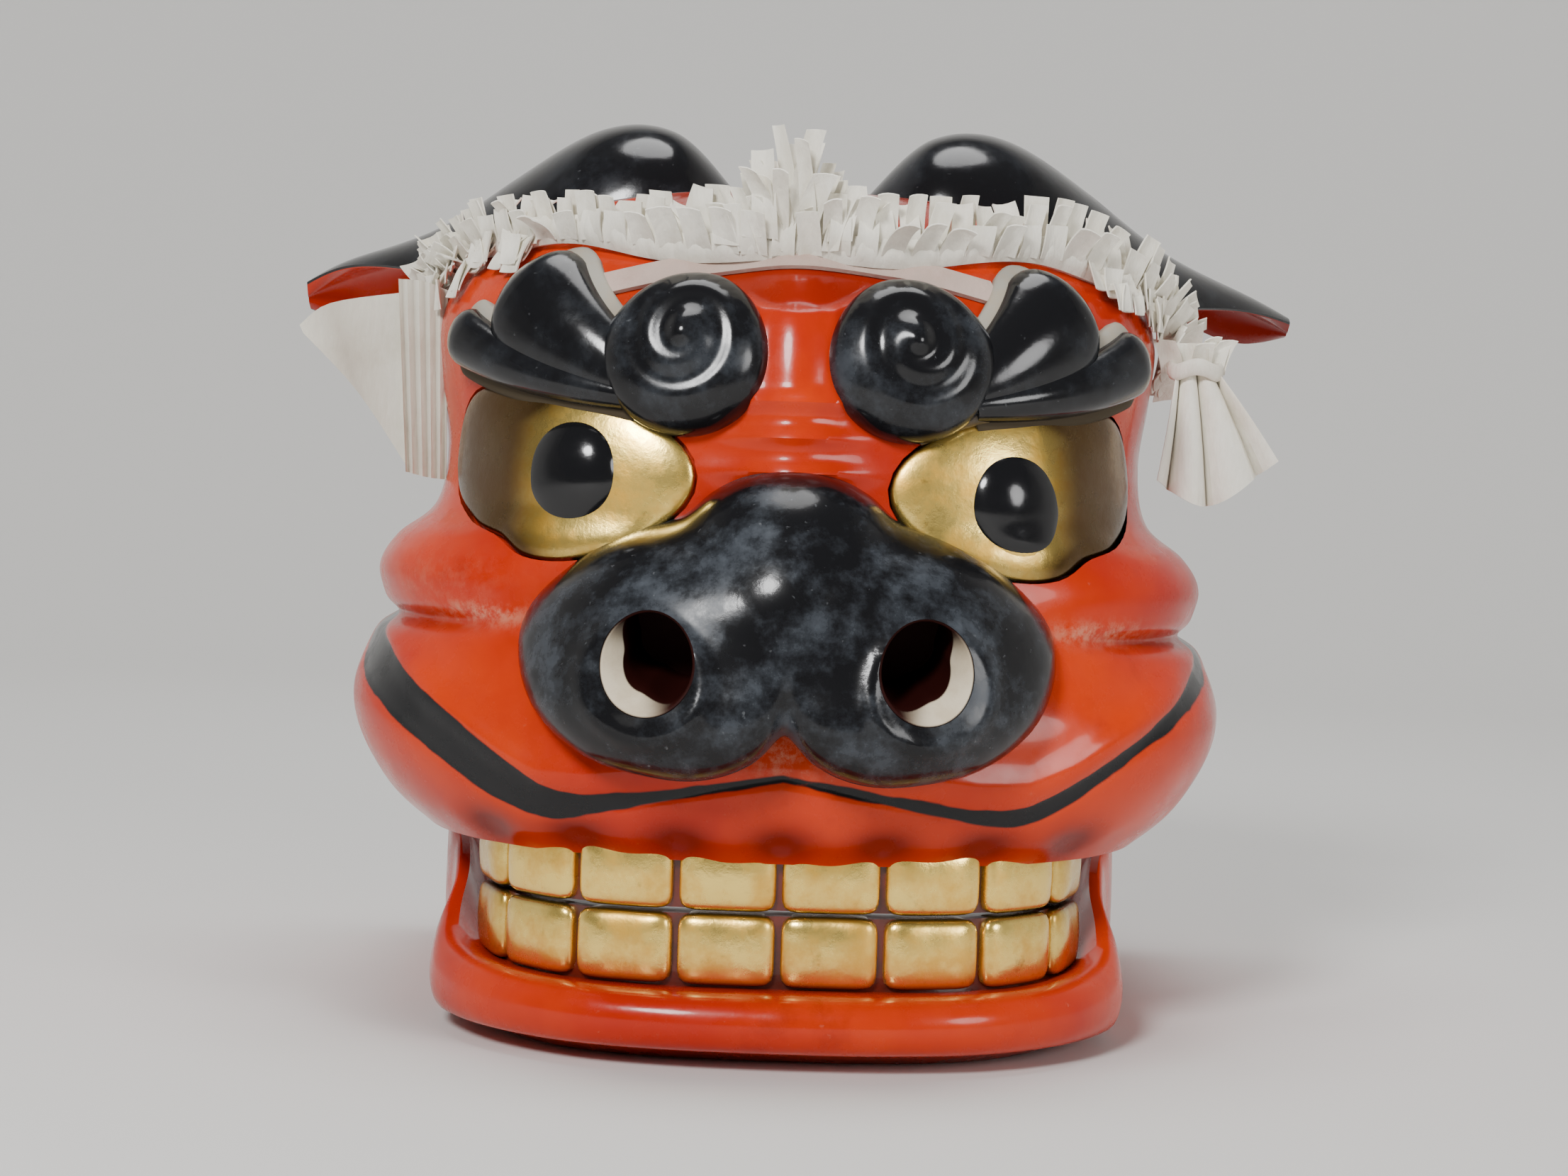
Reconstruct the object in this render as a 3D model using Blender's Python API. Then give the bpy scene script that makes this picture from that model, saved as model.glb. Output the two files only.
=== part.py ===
"""Carved and lacquered lion dance mask with a hinged lower jaw, cupped ears and a cut paper mane.

Metres, +Z up, the face looks along -Y. The origin is on the flat underside of the lower jaw.
The head's carving is placed by shares of the head's own size: across in hundredths of its half width,
up in hundredths of its height above the mouth edge, and forward in hundredths of its face depth.
"""
import bpy
import bmesh
import math
import numpy as np
from mathutils import Vector

# Head
HALF_WIDTH = 0.132
HEAD_HEIGHT = 0.198
FACE_DEPTH = 0.121
HEAD_BACK = 0.105
MOUTH_EDGE_HEIGHT = 0.056
HEAD_WALL = 0.009
NOSE_DEPTH = 0.034
NOSTRIL_RADIUS = 0.0135
NOSTRIL_ACROSS = 0.040
NOSTRIL_DEPTH = 0.034
NOSE_UP = 0.33
EYE_TURN = 0.69
EYE_UP = 0.54
EYE_REACH = 0.0445
PUPIL_TURN = 0.604
PUPIL_UP = 0.53
PUPIL_HALF_WIDTH = 0.0153
PUPIL_HALF_HEIGHT = 0.0165
EYE_SOCKET_DEPTH = 0.003
EYE_GROOVE = 0.0015
SOCKET_REACH = 0.012
EYE_BULGE = 0.0045
EYE_ROOT = 0.001
PUPIL_BULGE = 0.0018
BROW_THICKNESS = 0.013
SCROLL_TURN = 0.310
SCROLL_UP = 0.722
SCROLL_REACH = 0.026
SCROLL_BOSS_RADIUS = 0.0115
SCROLL_BOSS = 0.004
LOBE_SAG = 0.014
LOBE_ROOT = 0.005
SECTION_POWER = 2.4
BACK_NARROWING = 0.07
HEAD_COLUMNS = 48
HEAD_COURSES = 24

# Lower jaw
JAW_HALF_WIDTH = 0.103
LIP_DEPTH = 0.133
JAW_BACK = 0.098
JAW_FLOOR = 0.009
JAW_WALL = 0.010
LIP_TOP = 0.021
LIP_RISE = 0.008
LIP_FOOT = 0.002
CHIN_START = 0.0015
LEDGE_DROP = 0.001
LIP_CORNER_TOP = 0.040
JAW_SIDE_TOP = 0.0535

# Teeth
TEETH_HALF_WIDTH = 0.090
TEETH_DEPTH = 0.1085
TEETH_POWER = 3.2
TEETH_BACKING = 0.012
TOOTH_PITCH = 0.029
TOOTH_GAP = 0.0018
TOOTH_BULGE = 0.0045
TEETH_PER_SIDE = 4
BITE_HEIGHT = 0.0415
BITE_GAP = 0.0006
UPPER_GUM_TOP = 0.069
UPPER_TOOTH_HEIGHT = 0.0195
LOWER_TOOTH_HEIGHT = 0.0205
GUM_SETBACK = 0.0005
GUM_ROOT = 0.006

# Jaw hinge
HINGE_Y = 0.078
HINGE_HEIGHT = 0.074
ROD_RADIUS = 0.005
ROD_CLEARANCE = 0.0004
ROD_END_MARGIN = 0.002
LUG_RADIUS = 0.013
LUG_THICKNESS = 0.009
LUG_CLEARANCE = 0.0015

# Ears
EAR_REACH = 0.165
EAR_WIDTH = 0.062
EAR_WALL = 0.005
EAR_SETBACK = 0.008
# Degrees by which the tip of the left (-1) and right (1) ear rolls further forward
EAR_TIP_ROLL = {-1: -8, 1: 14}

# Paper
PAPER_STACK = 0.0022
TAB_WIDTH = 0.0068
TAB_GAP = 0.0012
FRINGE_BAND = 0.0085
FRINGE_LIFT = 0.001
FRINGE_LEAN = 0.15
SEAT_GAP = 0.0008
LEFT_HANGING_BACK = -0.032
LEFT_HANGING_THICKNESS = 0.004
RIGHT_HANGING_BACK = -0.034
RIGHT_HANGING_THICKNESS = 0.012
WELD_DISTANCE = 0.00001

# Head outline, from the mouth edge up to the crown: height, half width and front depth shares
HEAD_ROWS = (
    (0, 84, 93), (5, 92, 98), (12, 97, 100), (21, 100, 98), (28, 98, 94), (33, 95, 92), (39, 96, 90),
    (44, 92, 88), (49, 84, 86), (58, 82, 85), (68, 84, 83), (77, 85, 79), (84, 81, 72), (91, 70, 61),
    (96, 52, 43), (99, 28, 23), (100, 0, 0),
)

# Outline radii as shares, evenly spaced from the outer side round over the top
EYE_RADII = (0.99, 0.90, 0.63, 0.55, 0.56, 0.74, 1.00, 0.80, 0.63, 0.54, 0.48, 0.65)
SCROLL_RADII = (0.96, 0.90, 0.83, 0.79, 0.82, 0.88, 0.94, 0.96, 0.94, 0.93, 0.93, 0.94)
NOSE_RADII = (0.0755, 0.0640, 0.0520, 0.0440, 0.0445, 0.0455, 0.0460, 0.0455, 0.0445, 0.0440, 0.0520, 0.0640,
              0.0755, 0.0755, 0.0675, 0.0560, 0.0465, 0.0395, 0.0335, 0.0395, 0.0465, 0.0560, 0.0675, 0.0755)
# Brow lobes: turn and height of the tail and of the round end, and the end's radius
BROW_LOBES = (
    ("upper", 0.430, 0.665, 0.845, 0.820, 0.0160), ("lower", 0.450, 0.655, 1.055, 0.748, 0.0088),
)

COLOURS = {
    "red_lacquer": ((0.62, 0.03, 0.008, 1), 0.2, 0.0),
    "black_lacquer": ((0.006, 0.006, 0.007, 1), 0.2, 0.0),
    "bare_wood": ((0.30, 0.17, 0.08, 1), 0.6, 0.0),
    "white_paper": ((0.80, 0.76, 0.66, 1), 0.9, 0.0),
}


def material(name):
    """Return a Principled material of one of the named finishes."""
    colour, roughness, metallic = COLOURS[name]
    made = bpy.data.materials.get(name) or bpy.data.materials.new(name)
    made.use_nodes = True
    shader = made.node_tree.nodes["Principled BSDF"]
    shader.inputs["Base Color"].default_value = colour
    shader.inputs["Roughness"].default_value = roughness
    shader.inputs["Metallic"].default_value = metallic
    return made


def smooth_rows(rows, share):
    """Read a smooth curve through evenly spaced rows, at shares from 0 to 1."""
    rows = np.asarray(rows, float)
    place = np.clip(np.asarray(share, float), 0, 1) * (len(rows) - 1)
    start = np.minimum(place.astype(int), len(rows) - 2)
    t = (place - start)[..., None]
    before, first = rows[np.maximum(start - 1, 0)], rows[start]
    second, after = rows[start + 1], rows[np.minimum(start + 2, len(rows) - 1)]
    return 0.5 * (2 * first + (second - before) * t + (2 * before - 5 * first + 4 * second - after) * t**2
                  + (3 * first - before - 3 * second + after) * t**3)


def hill(distance):
    """Return a smooth hill that is 1 at no distance and fades past a distance of 1."""
    return np.exp(-np.asarray(distance) ** 2 * 1.6)


def ramp(value, low, high):
    """Rise smoothly from 0 at low to 1 at high."""
    t = np.clip((value - low) / (high - low), 0, 1)
    return t * t * (3 - 2 * t)


RISE_TABLE = np.linspace(0, 1, 400)
HEIGHT_TABLE = smooth_rows(HEAD_ROWS, RISE_TABLE)[:, 0] / 100
MEAN_RADIUS = (0.82 * HALF_WIDTH + 0.85 * FACE_DEPTH) / 2


def head_relief(turn, height):
    """Return how far the carving stands out at a turn in radians and a height share of the head."""
    side = np.abs(turn)
    out = 0.006 * hill(np.hypot((side - 1.05) / 0.50, (height - 0.17) / 0.13))
    out += 0.004 * hill(np.hypot((side - 1.05) / 0.45, (height - 0.41) / 0.09))
    out -= 0.004 * hill((height - 0.32) / 0.018) * ramp(side, 0.65, 0.95) * (1 - ramp(side, 1.5, 1.9))
    out += 0.007 * hill(turn / 0.17) * ramp(height, 0.50, 0.56) * (1 - ramp(height, 0.83, 0.93))
    for wrinkle in (0.555, 0.605, 0.655):
        out += 0.0022 * hill((height - wrinkle) / 0.014) * hill(turn / 0.22)
    return out


def head_point(turn, height, lift=0.0, carved=True):
    """Return points on the head's outer surface, lifted along the normal of its plain form."""
    def base(turn, height, carved):
        rise = np.interp(height, HEIGHT_TABLE, RISE_TABLE)
        return head_surface(turn, rise, 0.0, carved)
    turn, height = np.broadcast_arrays(np.asarray(turn, float), np.asarray(height, float))
    here = base(turn, height, carved)
    step = 0.03
    across = base(turn + step, height, False) - base(turn - step, height, False)
    up = base(turn, height + step, False) - base(turn, height - step, False)
    normal = np.cross(across, up)
    normal /= np.linalg.norm(normal, axis=-1, keepdims=True)
    return here + normal * np.asarray(lift)[..., None]


def head_surface(turn, rise, wall=0.0, carved=True):
    """Return points of the head's shell; a wall above 0 gives the smooth inner side."""
    rows = smooth_rows(HEAD_ROWS, rise) / 100
    grow = head_relief(turn, rows[..., 0]) if carved else 0.0
    half = rows[..., 1] * HALF_WIDTH * (1 - wall / HALF_WIDTH)
    deep = rows[..., 2] * FACE_DEPTH * (1 - wall / FACE_DEPTH)
    z = MOUTH_EDGE_HEIGHT + rows[..., 0] * (HEAD_HEIGHT - wall)
    side = np.clip(np.abs(turn), 0, math.pi / 2)
    safe_half, safe_deep = np.maximum(half, 1e-6), np.maximum(deep, 1e-6)
    radius = ((np.sin(side) / safe_half) ** SECTION_POWER
              + (np.cos(side) / safe_deep) ** SECTION_POWER) ** (-1 / SECTION_POWER)
    radius = radius + grow * np.minimum(1, half / (0.3 * HALF_WIDTH))
    back = np.clip((np.abs(turn) - math.pi / 2) / BACK_TURN, 0, 1)
    x = np.sign(turn) * radius * np.sin(side) * (1 - BACK_NARROWING * back**2)
    y = -radius * np.cos(side) * (side < math.pi / 2) + back * HEAD_BACK
    return np.stack([x, y, z + 0 * x], axis=-1)


BACK_TURN = HEAD_BACK / MEAN_RADIUS


def turn_at(across, height):
    """Return the turn in radians of a point at a share of the half width and a height share."""
    rows = smooth_rows(HEAD_ROWS, np.interp(height, HEIGHT_TABLE, RISE_TABLE)) / 100
    x, half, deep = across * HALF_WIDTH, rows[..., 1] * HALF_WIDTH, rows[..., 2] * FACE_DEPTH
    y = deep * (1 - np.clip(abs(x) / half, 0, 0.999) ** SECTION_POWER) ** (1 / SECTION_POWER)
    return float(np.arctan2(x, y))


def new_object(name, mesh, finish, parent=None, smooth=True):
    """Link a mesh as a named object with its finish, and parent it in place."""
    item = bpy.data.objects.new(name, mesh)
    bpy.context.collection.objects.link(item)
    mesh.materials.append(material(finish))
    if smooth:
        mesh.shade_smooth()
        mesh.set_sharp_from_angle(angle=math.radians(50))
    if parent:
        item.parent = parent
        item.matrix_parent_inverse = parent.matrix_world.inverted()
    return item


def mesh_of(points, faces):
    """Make a mesh from points and faces, welded, with its faces turned outwards."""
    mesh = bpy.data.meshes.new("solid")
    mesh.from_pydata([tuple(p) for p in points], [], faces)
    work = bmesh.new()
    work.from_mesh(mesh)
    bmesh.ops.remove_doubles(work, verts=work.verts, dist=WELD_DISTANCE)
    bmesh.ops.dissolve_degenerate(work, edges=work.edges, dist=WELD_DISTANCE)
    bmesh.ops.triangulate(work, faces=work.faces)
    bmesh.ops.recalc_face_normals(work, faces=work.faces)
    if work.calc_volume(signed=True) < 0:
        bmesh.ops.reverse_faces(work, faces=work.faces)
    work.to_mesh(mesh)
    work.free()
    return mesh


def swept_mesh(sections):
    """Join equal closed sections, an array of sections by points by xyz, into one capped solid."""
    count, around = sections.shape[:2]
    faces = [tuple(range(around))[::-1], tuple((count - 1) * around + i for i in range(around))]
    for row in range(count - 1):
        for i in range(around):
            j = (i + 1) % around
            faces.append((row * around + i, row * around + j, (row + 1) * around + j, (row + 1) * around + i))
    return mesh_of(sections.reshape(-1, 3), faces)


def pad_mesh(place, outline, height, sides=20, rings=3, power=2.2, sink=0.006):
    """Make a domed pad: outline gives (across, up) from its middle, and place sets points on the face."""
    angles = np.linspace(0, 2 * math.pi, sides, endpoint=False)
    across, up = outline(angles)
    points = [place(0.0, 0.0, height)]
    for ring in range(1, rings + 1):
        share = math.sin(ring / rings * math.pi / 2)
        lift = height * (1 - share**power) ** (1 / power)
        points += [place(a * share, b * share, lift) for a, b in zip(across, up)]
    points += [place(a, b, -sink) for a, b in zip(across, up)]
    points.append(place(0.0, 0.0, -sink))
    faces = [(0, 1 + i, 1 + (i + 1) % sides) for i in range(sides)]
    for ring in range(rings):
        low, high = 1 + ring * sides, 1 + (ring + 1) * sides
        faces += [(low + i, high + i, high + (i + 1) % sides, low + (i + 1) % sides) for i in range(sides)]
    last, back = 1 + rings * sides, len(points) - 1
    faces += [(last + i, back, last + (i + 1) % sides) for i in range(sides)]
    return mesh_of(points, faces)


def oval(half_across, half_up, power=2.0, lean=0.0):
    """Return an outline function for a rounded oval, or a rounded box at a higher power."""
    def outline(angles):
        c, s = np.cos(angles), np.sin(angles)
        radius = (np.abs(c / half_across) ** power + np.abs(s / half_up) ** power) ** (-1 / power)
        return radius * c, radius * s + lean * radius * c
    return outline


def lobed(radii, flip=False):
    """Return an outline function through radii that are spaced evenly around the middle."""
    def outline(angles):
        turned = (math.pi - angles) % (2 * math.pi) if flip else angles
        wrapped = list(radii[-1:]) + list(radii) + list(radii[:2])
        share = (turned / (2 * math.pi) * len(radii) + 1) / (len(wrapped) - 1)
        radius = smooth_rows([(r,) for r in wrapped], share)[..., 0]
        return radius * np.cos(angles), radius * np.sin(angles)
    return outline


def on_face(turn, height):
    """Return a placing function around a point of the face, in metres along its surface."""
    def place(a, b, lift):
        return head_point(turn + a / MEAN_RADIUS, height + b / HEAD_HEIGHT, lift, False)
    return place


def join(target, parts, operation="UNION", solver="EXACT"):
    """Join parts to the target, or cut them from it, by booleans that stay on the target."""
    for part in parts:
        part.hide_render = True
        part.display_type = "WIRE"
        boolean = target.modifiers.new(part.name, "BOOLEAN")
        boolean.operation = operation
        boolean.solver = solver
        boolean.object = part
    return target


def guide(name, mesh, parent=None):
    """Link a mesh that only shapes another object."""
    item = bpy.data.objects.new("shape_" + name, mesh)
    bpy.context.collection.objects.link(item)
    if parent:
        item.parent = parent
        item.matrix_parent_inverse = parent.matrix_world.inverted()
    return item


def bar_mesh(start, end, radius, sides=20):
    """Make a capped round bar between two points."""
    start, end = Vector(start), Vector(end)
    along = (end - start).normalized()
    side = along.cross(Vector((0, 0, 1)) if abs(along.z) < 0.9 else Vector((1, 0, 0))).normalized()
    other = along.cross(side)
    rings = [[tuple(p + radius * (math.cos(a) * side + math.sin(a) * other))
              for a in (2 * math.pi * i / sides for i in range(sides))] for p in (start, end)]
    return swept_mesh(np.array(rings))


def head_turns():
    """Return the turns of the head's columns, closer together on the face than at the back."""
    spread = np.linspace(-1, 1, HEAD_COLUMNS + 1)
    return (math.pi / 2 + BACK_TURN) * (0.8 * spread + 0.2 * spread**3)


def head_shell():
    """Make the hollow shell: a carved outer side, a plain inner side and the rim between them."""
    columns, rows, skip = HEAD_COLUMNS, HEAD_COURSES, 4
    reach = math.pi / 2 + BACK_TURN
    turns, rises = head_turns(), np.linspace(0, 1, rows + 1)
    outer = head_surface(*np.meshgrid(turns, rises))
    inner = head_surface(*np.meshgrid(turns[::skip], rises[::skip]), wall=HEAD_WALL, carved=False)
    inner[..., 1] = np.where(np.isclose(np.abs(turns[::skip]), reach), HEAD_BACK, inner[..., 1])
    points = np.concatenate([outer.reshape(-1, 3), inner.reshape(-1, 3)])
    start, in_columns, in_rows = outer.shape[0] * outer.shape[1], columns // skip, rows // skip

    def out_at(row, column):
        return row * (columns + 1) + column

    def in_at(row, column):
        return start + row * (in_columns + 1) + column
    faces = [(out_at(r, c), out_at(r, c + 1), out_at(r + 1, c + 1), out_at(r + 1, c))
             for r in range(rows) for c in range(columns)]
    faces += [(in_at(r, c), in_at(r + 1, c), in_at(r + 1, c + 1), in_at(r, c + 1))
              for r in range(in_rows) for c in range(in_columns)]
    for c in range(in_columns):
        faces.append([in_at(0, c), in_at(0, c + 1)] + [out_at(0, c * skip + i) for i in range(skip, -1, -1)])
    for r in range(in_rows):
        faces.append([in_at(r + 1, 0), in_at(r, 0)] + [out_at(r * skip + i, 0) for i in range(skip + 1)])
        faces.append([in_at(r, in_columns), in_at(r + 1, in_columns)]
                     + [out_at(r * skip + i, columns) for i in range(skip, -1, -1)])
    return mesh_of(points, faces)


def head_form_mesh(gap):
    """Make the head's outer form as one filled solid, a gap larger all round, to seat what rests on it."""
    columns, rows = HEAD_COLUMNS, HEAD_COURSES
    points = head_surface(*np.meshgrid(head_turns(), np.linspace(0, 1, rows + 1)), wall=-gap).reshape(-1, 3)

    def at(row, column):
        return row * (columns + 1) + column
    faces = [(at(r, c), at(r, c + 1), at(r + 1, c + 1), at(r + 1, c)) for r in range(rows) for c in range(columns)]
    faces.append([at(0, c) for c in range(columns, -1, -1)])
    faces.append([at(r, 0) for r in range(rows + 1)] + [at(r, columns) for r in range(rows - 1, -1, -1)])
    return mesh_of(points, faces)


def seat(item, parent):
    """Trim an object to the head's plain form, so that it rests on it with the seat gap."""
    cutter = guide("seat_" + item.name, head_form_mesh(SEAT_GAP), parent)
    return join(item, [cutter], "DIFFERENCE")


def tooth_arc(half_width, depth, back=0.0):
    """Return a table of distance along the tooth arc, with its points and outward directions."""
    turns = np.linspace(0, math.radians(88), 300)
    radius = ((np.sin(turns) / half_width) ** TEETH_POWER
              + (np.cos(turns) / depth) ** TEETH_POWER) ** (-1 / TEETH_POWER)
    points = np.stack([radius * np.sin(turns), -radius * np.cos(turns)], axis=1)
    along = np.gradient(points, axis=0)
    along /= np.linalg.norm(along, axis=1, keepdims=True)
    length = np.concatenate([[0], np.cumsum(np.linalg.norm(np.diff(points, axis=0), axis=1))])
    return length, points - back * np.stack([along[:, 1], -along[:, 0]], axis=1), along


def arc_point(distance, lift, z):
    """Return a point at a signed distance along the tooth arc, lifted out of it."""
    length, points, along = tooth_arc(TEETH_HALF_WIDTH, TEETH_DEPTH)
    side = -1 if distance < 0 else 1
    x, y, ax, ay = (np.interp(abs(distance), length, column)
                    for column in (points[:, 0], points[:, 1], along[:, 0], along[:, 1]))
    return (side * (x + ay * lift), y - ax * lift, z)


def teeth(name, low, high, parent):
    """Make one row of domed teeth as shapes to join."""
    made = []
    middle, half_up = (low + high) / 2, (high - low) / 2
    for index in range(-TEETH_PER_SIDE, TEETH_PER_SIDE):
        centre = (index + 0.5) * TOOTH_PITCH
        half = (TOOTH_PITCH - TOOTH_GAP) / 2

        def place(a, b, lift, centre=centre):
            return arc_point(centre + a, lift, middle + b)
        mesh = pad_mesh(place, oval(half, half_up, 6), TOOTH_BULGE, sides=10, rings=2, power=3, sink=0.004)
        made.append(guide(f"{name}_{index + TEETH_PER_SIDE}", mesh, parent))
    return made


def gum_mesh(low, high, backing):
    """Make the backing that carries a row of teeth."""
    sections, reach = [], TEETH_PER_SIDE * TOOTH_PITCH
    for distance in np.linspace(-reach, reach, 17):
        ring = ((0.0, low), (0.0, high), (-backing, high), (-backing, low))
        sections.append([arc_point(distance, lift, z) for lift, z in ring])
    return swept_mesh(np.array(sections))


def brow_shapes(side, parent):
    """Make one brow: the round scroll beside the bridge and two lobes that flare up and out."""
    word = "left" if side < 0 else "right"
    place = on_face(side * SCROLL_TURN, SCROLL_UP)
    outline = lobed([SCROLL_REACH * share for share in SCROLL_RADII], side < 0)
    made = [guide(f"{word}_scroll", pad_mesh(place, outline, BROW_THICKNESS, 16, 3, 2.6), parent)]
    boss = pad_mesh(place, oval(SCROLL_BOSS_RADIUS, SCROLL_BOSS_RADIUS), BROW_THICKNESS + SCROLL_BOSS, 10, 2, 2.0)
    made.append(guide(f"{word}_boss", boss, parent))
    round_end = np.linspace(0, math.pi / 2, 4)
    shares = np.concatenate([np.linspace(0, 0.75, 4)[:-1], 0.75 + 0.25 * np.sin(round_end)])
    swells = np.concatenate([np.linspace(0.50, 1, 4)[:-1], np.maximum(np.cos(round_end), 0.12)])
    for label, near_turn, near_up, far_turn, far_up, radius in BROW_LOBES:
        near, far = np.array([side * near_turn, near_up]), np.array([side * far_turn, far_up])
        along = (far - near) * (MEAN_RADIUS, HEAD_HEIGHT)
        along /= np.linalg.norm(along)
        sections = []
        for share, swell in zip(shares, radius * swells):
            turn, height = near + (far - near) * share - (0, LOBE_SAG * math.sin(share * math.pi))
            arc = [(swell * math.cos(angle), BROW_THICKNESS * (0.55 + 0.35 * share) * math.sin(angle) ** 0.7)
                   for angle in np.linspace(0, math.pi, 6)]
            arc += [(-0.8 * swell, -LOBE_ROOT), (0.8 * swell, -LOBE_ROOT)]
            sections.append([head_point(turn - along[1] * offset / MEAN_RADIUS,
                                        height + along[0] * offset / HEAD_HEIGHT, lift, False)
                             for offset, lift in arc])
        made.append(guide(f"{word}_{label}_lobe", swept_mesh(np.array(sections)), parent))
    return made


def eye_outline(side, margin):
    """Return the outline of the eye on one side, a margin larger all round."""
    return lobed([EYE_REACH * share + margin for share in EYE_RADII], side < 0)


def eye_shapes(side, parent):
    """Make one eyeball, which stands in its socket, and its domed pupil."""
    word = "left" if side < 0 else "right"
    ball = pad_mesh(on_face(side * EYE_TURN, EYE_UP), eye_outline(side, 0.0), EYE_BULGE, 24, 2, 2.0,
                    EYE_SOCKET_DEPTH + EYE_ROOT)
    pupil = pad_mesh(on_face(side * PUPIL_TURN, PUPIL_UP), oval(PUPIL_HALF_WIDTH, PUPIL_HALF_HEIGHT),
                     EYE_BULGE + PUPIL_BULGE, 14, 2, 2.2)
    return [guide(f"{word}_eyeball", ball, parent), guide(f"{word}_pupil", pupil, parent)]


def nose_place(across, up, lift):
    """Place a point of the nose, which stands straight forward from the face."""
    height = NOSE_UP + up / HEAD_HEIGHT
    foot = head_point(turn_at(across / HALF_WIDTH, height), height, 0.0, False)
    return foot + np.array([0, -1, -0.1]) * lift


def nose_shapes(parent):
    """Make the broad black nose, as one pad with two wings and a domed bridge."""
    body = pad_mesh(nose_place, lobed(NOSE_RADII), NOSE_DEPTH, sides=28, rings=4, power=2.6, sink=0.008)
    return [guide("nose", body, parent)]


def nostril_cutters(parent):
    """Make the two blind bores of the nostrils, which slant up and in."""
    made = []
    for side in (-1, 1):
        mouth = Vector((side * NOSTRIL_ACROSS, -FACE_DEPTH - NOSE_DEPTH, MOUTH_EDGE_HEIGHT + 0.274 * HEAD_HEIGHT))
        along = Vector((-side * 0.15, 1.0, 0.19)).normalized()
        front, back = mouth - along * NOSTRIL_RADIUS, mouth + along * (NOSTRIL_DEPTH + NOSTRIL_RADIUS)
        made.append(guide(f"nostril_{side}", bar_mesh(front, back, NOSTRIL_RADIUS, 18), parent))
    return made


def make_head(parent):
    """Make the upper head as one solid."""
    head = new_object("head", head_shell(), "red_lacquer", parent)
    sockets = [guide(f"eye_socket_{side}", pad_mesh(on_face(side * EYE_TURN, EYE_UP), eye_outline(side, EYE_GROOVE),
                                                    SOCKET_REACH, 24, 2, 6, EYE_SOCKET_DEPTH), parent)
               for side in (-1, 1)]
    join(head, sockets, "DIFFERENCE")
    shapes = nose_shapes(parent)
    for side in (-1, 1):
        shapes += brow_shapes(side, parent)
    low = BITE_HEIGHT + BITE_GAP / 2
    shapes.append(guide("upper_gum", gum_mesh(low + GUM_SETBACK, UPPER_GUM_TOP, TEETH_BACKING), parent))
    shapes += teeth("upper_tooth", low, low + UPPER_TOOTH_HEIGHT, parent)
    join(head, shapes)
    join(head, eye_shapes(-1, parent) + eye_shapes(1, parent), solver="MANIFOLD")
    rod_hole = bar_mesh((-1, HINGE_Y, HINGE_HEIGHT), (1, HINGE_Y, HINGE_HEIGHT), ROD_RADIUS + ROD_CLEARANCE)
    join(head, nostril_cutters(parent) + [guide("head_rod_hole", rod_hole, parent)], "DIFFERENCE")
    return head


# Jaw outline from the front round to the back: outer x share, then y as a share of the lip's depth in
# front or of the jaw's back behind, how far the top has climbed, and how far the side wall has formed
JAW_ROWS = (
    (0.00, -1.000, 0.00, 0.00), (0.30, -0.985, 0.00, 0.00), (0.58, -0.925, 0.02, 0.00),
    (0.82, -0.790, 0.06, 0.00), (0.97, -0.610, 0.22, 0.00), (1.00, -0.460, 0.55, 0.00),
    (0.975, -0.350, 0.90, 0.25), (0.98, -0.240, 1.00, 0.75), (1.02, -0.100, 1.00, 1.00),
    (1.06, 0.240, 1.00, 1.00), (1.078, 0.500, 1.00, 1.00), (1.070, 0.660, 0.90, 1.00),
    (1.060, 0.820, 0.55, 1.00), (1.045, 1.000, 0.20, 1.00),
)


def jaw_edge(share):
    """Return a point of the jaw's outer edge, with how far its top has climbed and its wall has formed."""
    x, y, climb, rear = smooth_rows(JAW_ROWS, share)
    return np.array([x * JAW_HALF_WIDTH, y * (LIP_DEPTH if y < 0 else JAW_BACK)]), climb, np.clip(rear, 0, 1)


def jaw_wall_mesh():
    """Sweep the lip and the side walls round the jaw as one solid."""
    half = []
    for share in np.linspace(0, 1, 23):
        outer, climb, rear = jaw_edge(share)
        length, points, along = tooth_arc(TEETH_HALF_WIDTH, TEETH_DEPTH, TEETH_BACKING)
        turn = math.atan2(outer[0], max(-outer[1], 0.001))
        inner = np.array([np.interp(turn, np.arctan2(points[:, 0], -points[:, 1]), points[:, i]) for i in (0, 1)])
        inner = inner * (1 - rear) + rear * np.array([outer[0] - JAW_WALL, max(outer[1], 0)])
        if outer[1] > 0:
            inner = np.array([outer[0] - JAW_WALL, outer[1]])
        front = (1 - np.clip(climb, 0, 1)) * (1 - rear)
        top = LIP_TOP + (LIP_CORNER_TOP - LIP_TOP) * climb
        top = top + (JAW_SIDE_TOP - LIP_CORNER_TOP) * rear
        chin = LIP_FOOT + LIP_RISE * front
        tall = top - chin
        ledge = LIP_TOP + (top - LIP_TOP) * rear - LEDGE_DROP
        ring = ((0, CHIN_START * front), (0.5, 0.45 * chin * front), (0.8, 0.7 * chin * front + 0.15 * chin),
                (0.95, 0.95 * chin), (1, chin + 0.15 * tall),
                (1, chin + 0.55 * tall), (0.94, chin + 0.85 * tall), (0.80, top), (0.35, ledge), (0, ledge))
        half.append([(*(inner + (outer - inner) * q), z) for q, z in ring])
    half = np.array(half)
    mirrored = half[:0:-1].copy()
    mirrored[..., 0] *= -1
    return swept_mesh(np.concatenate([mirrored, half]))


def prism_mesh(outline, low, high):
    """Extrude an outline of (x, y) points between two heights."""
    return swept_mesh(np.array([[(x, y, z) for x, y in outline] for z in (low, high)]))


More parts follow.
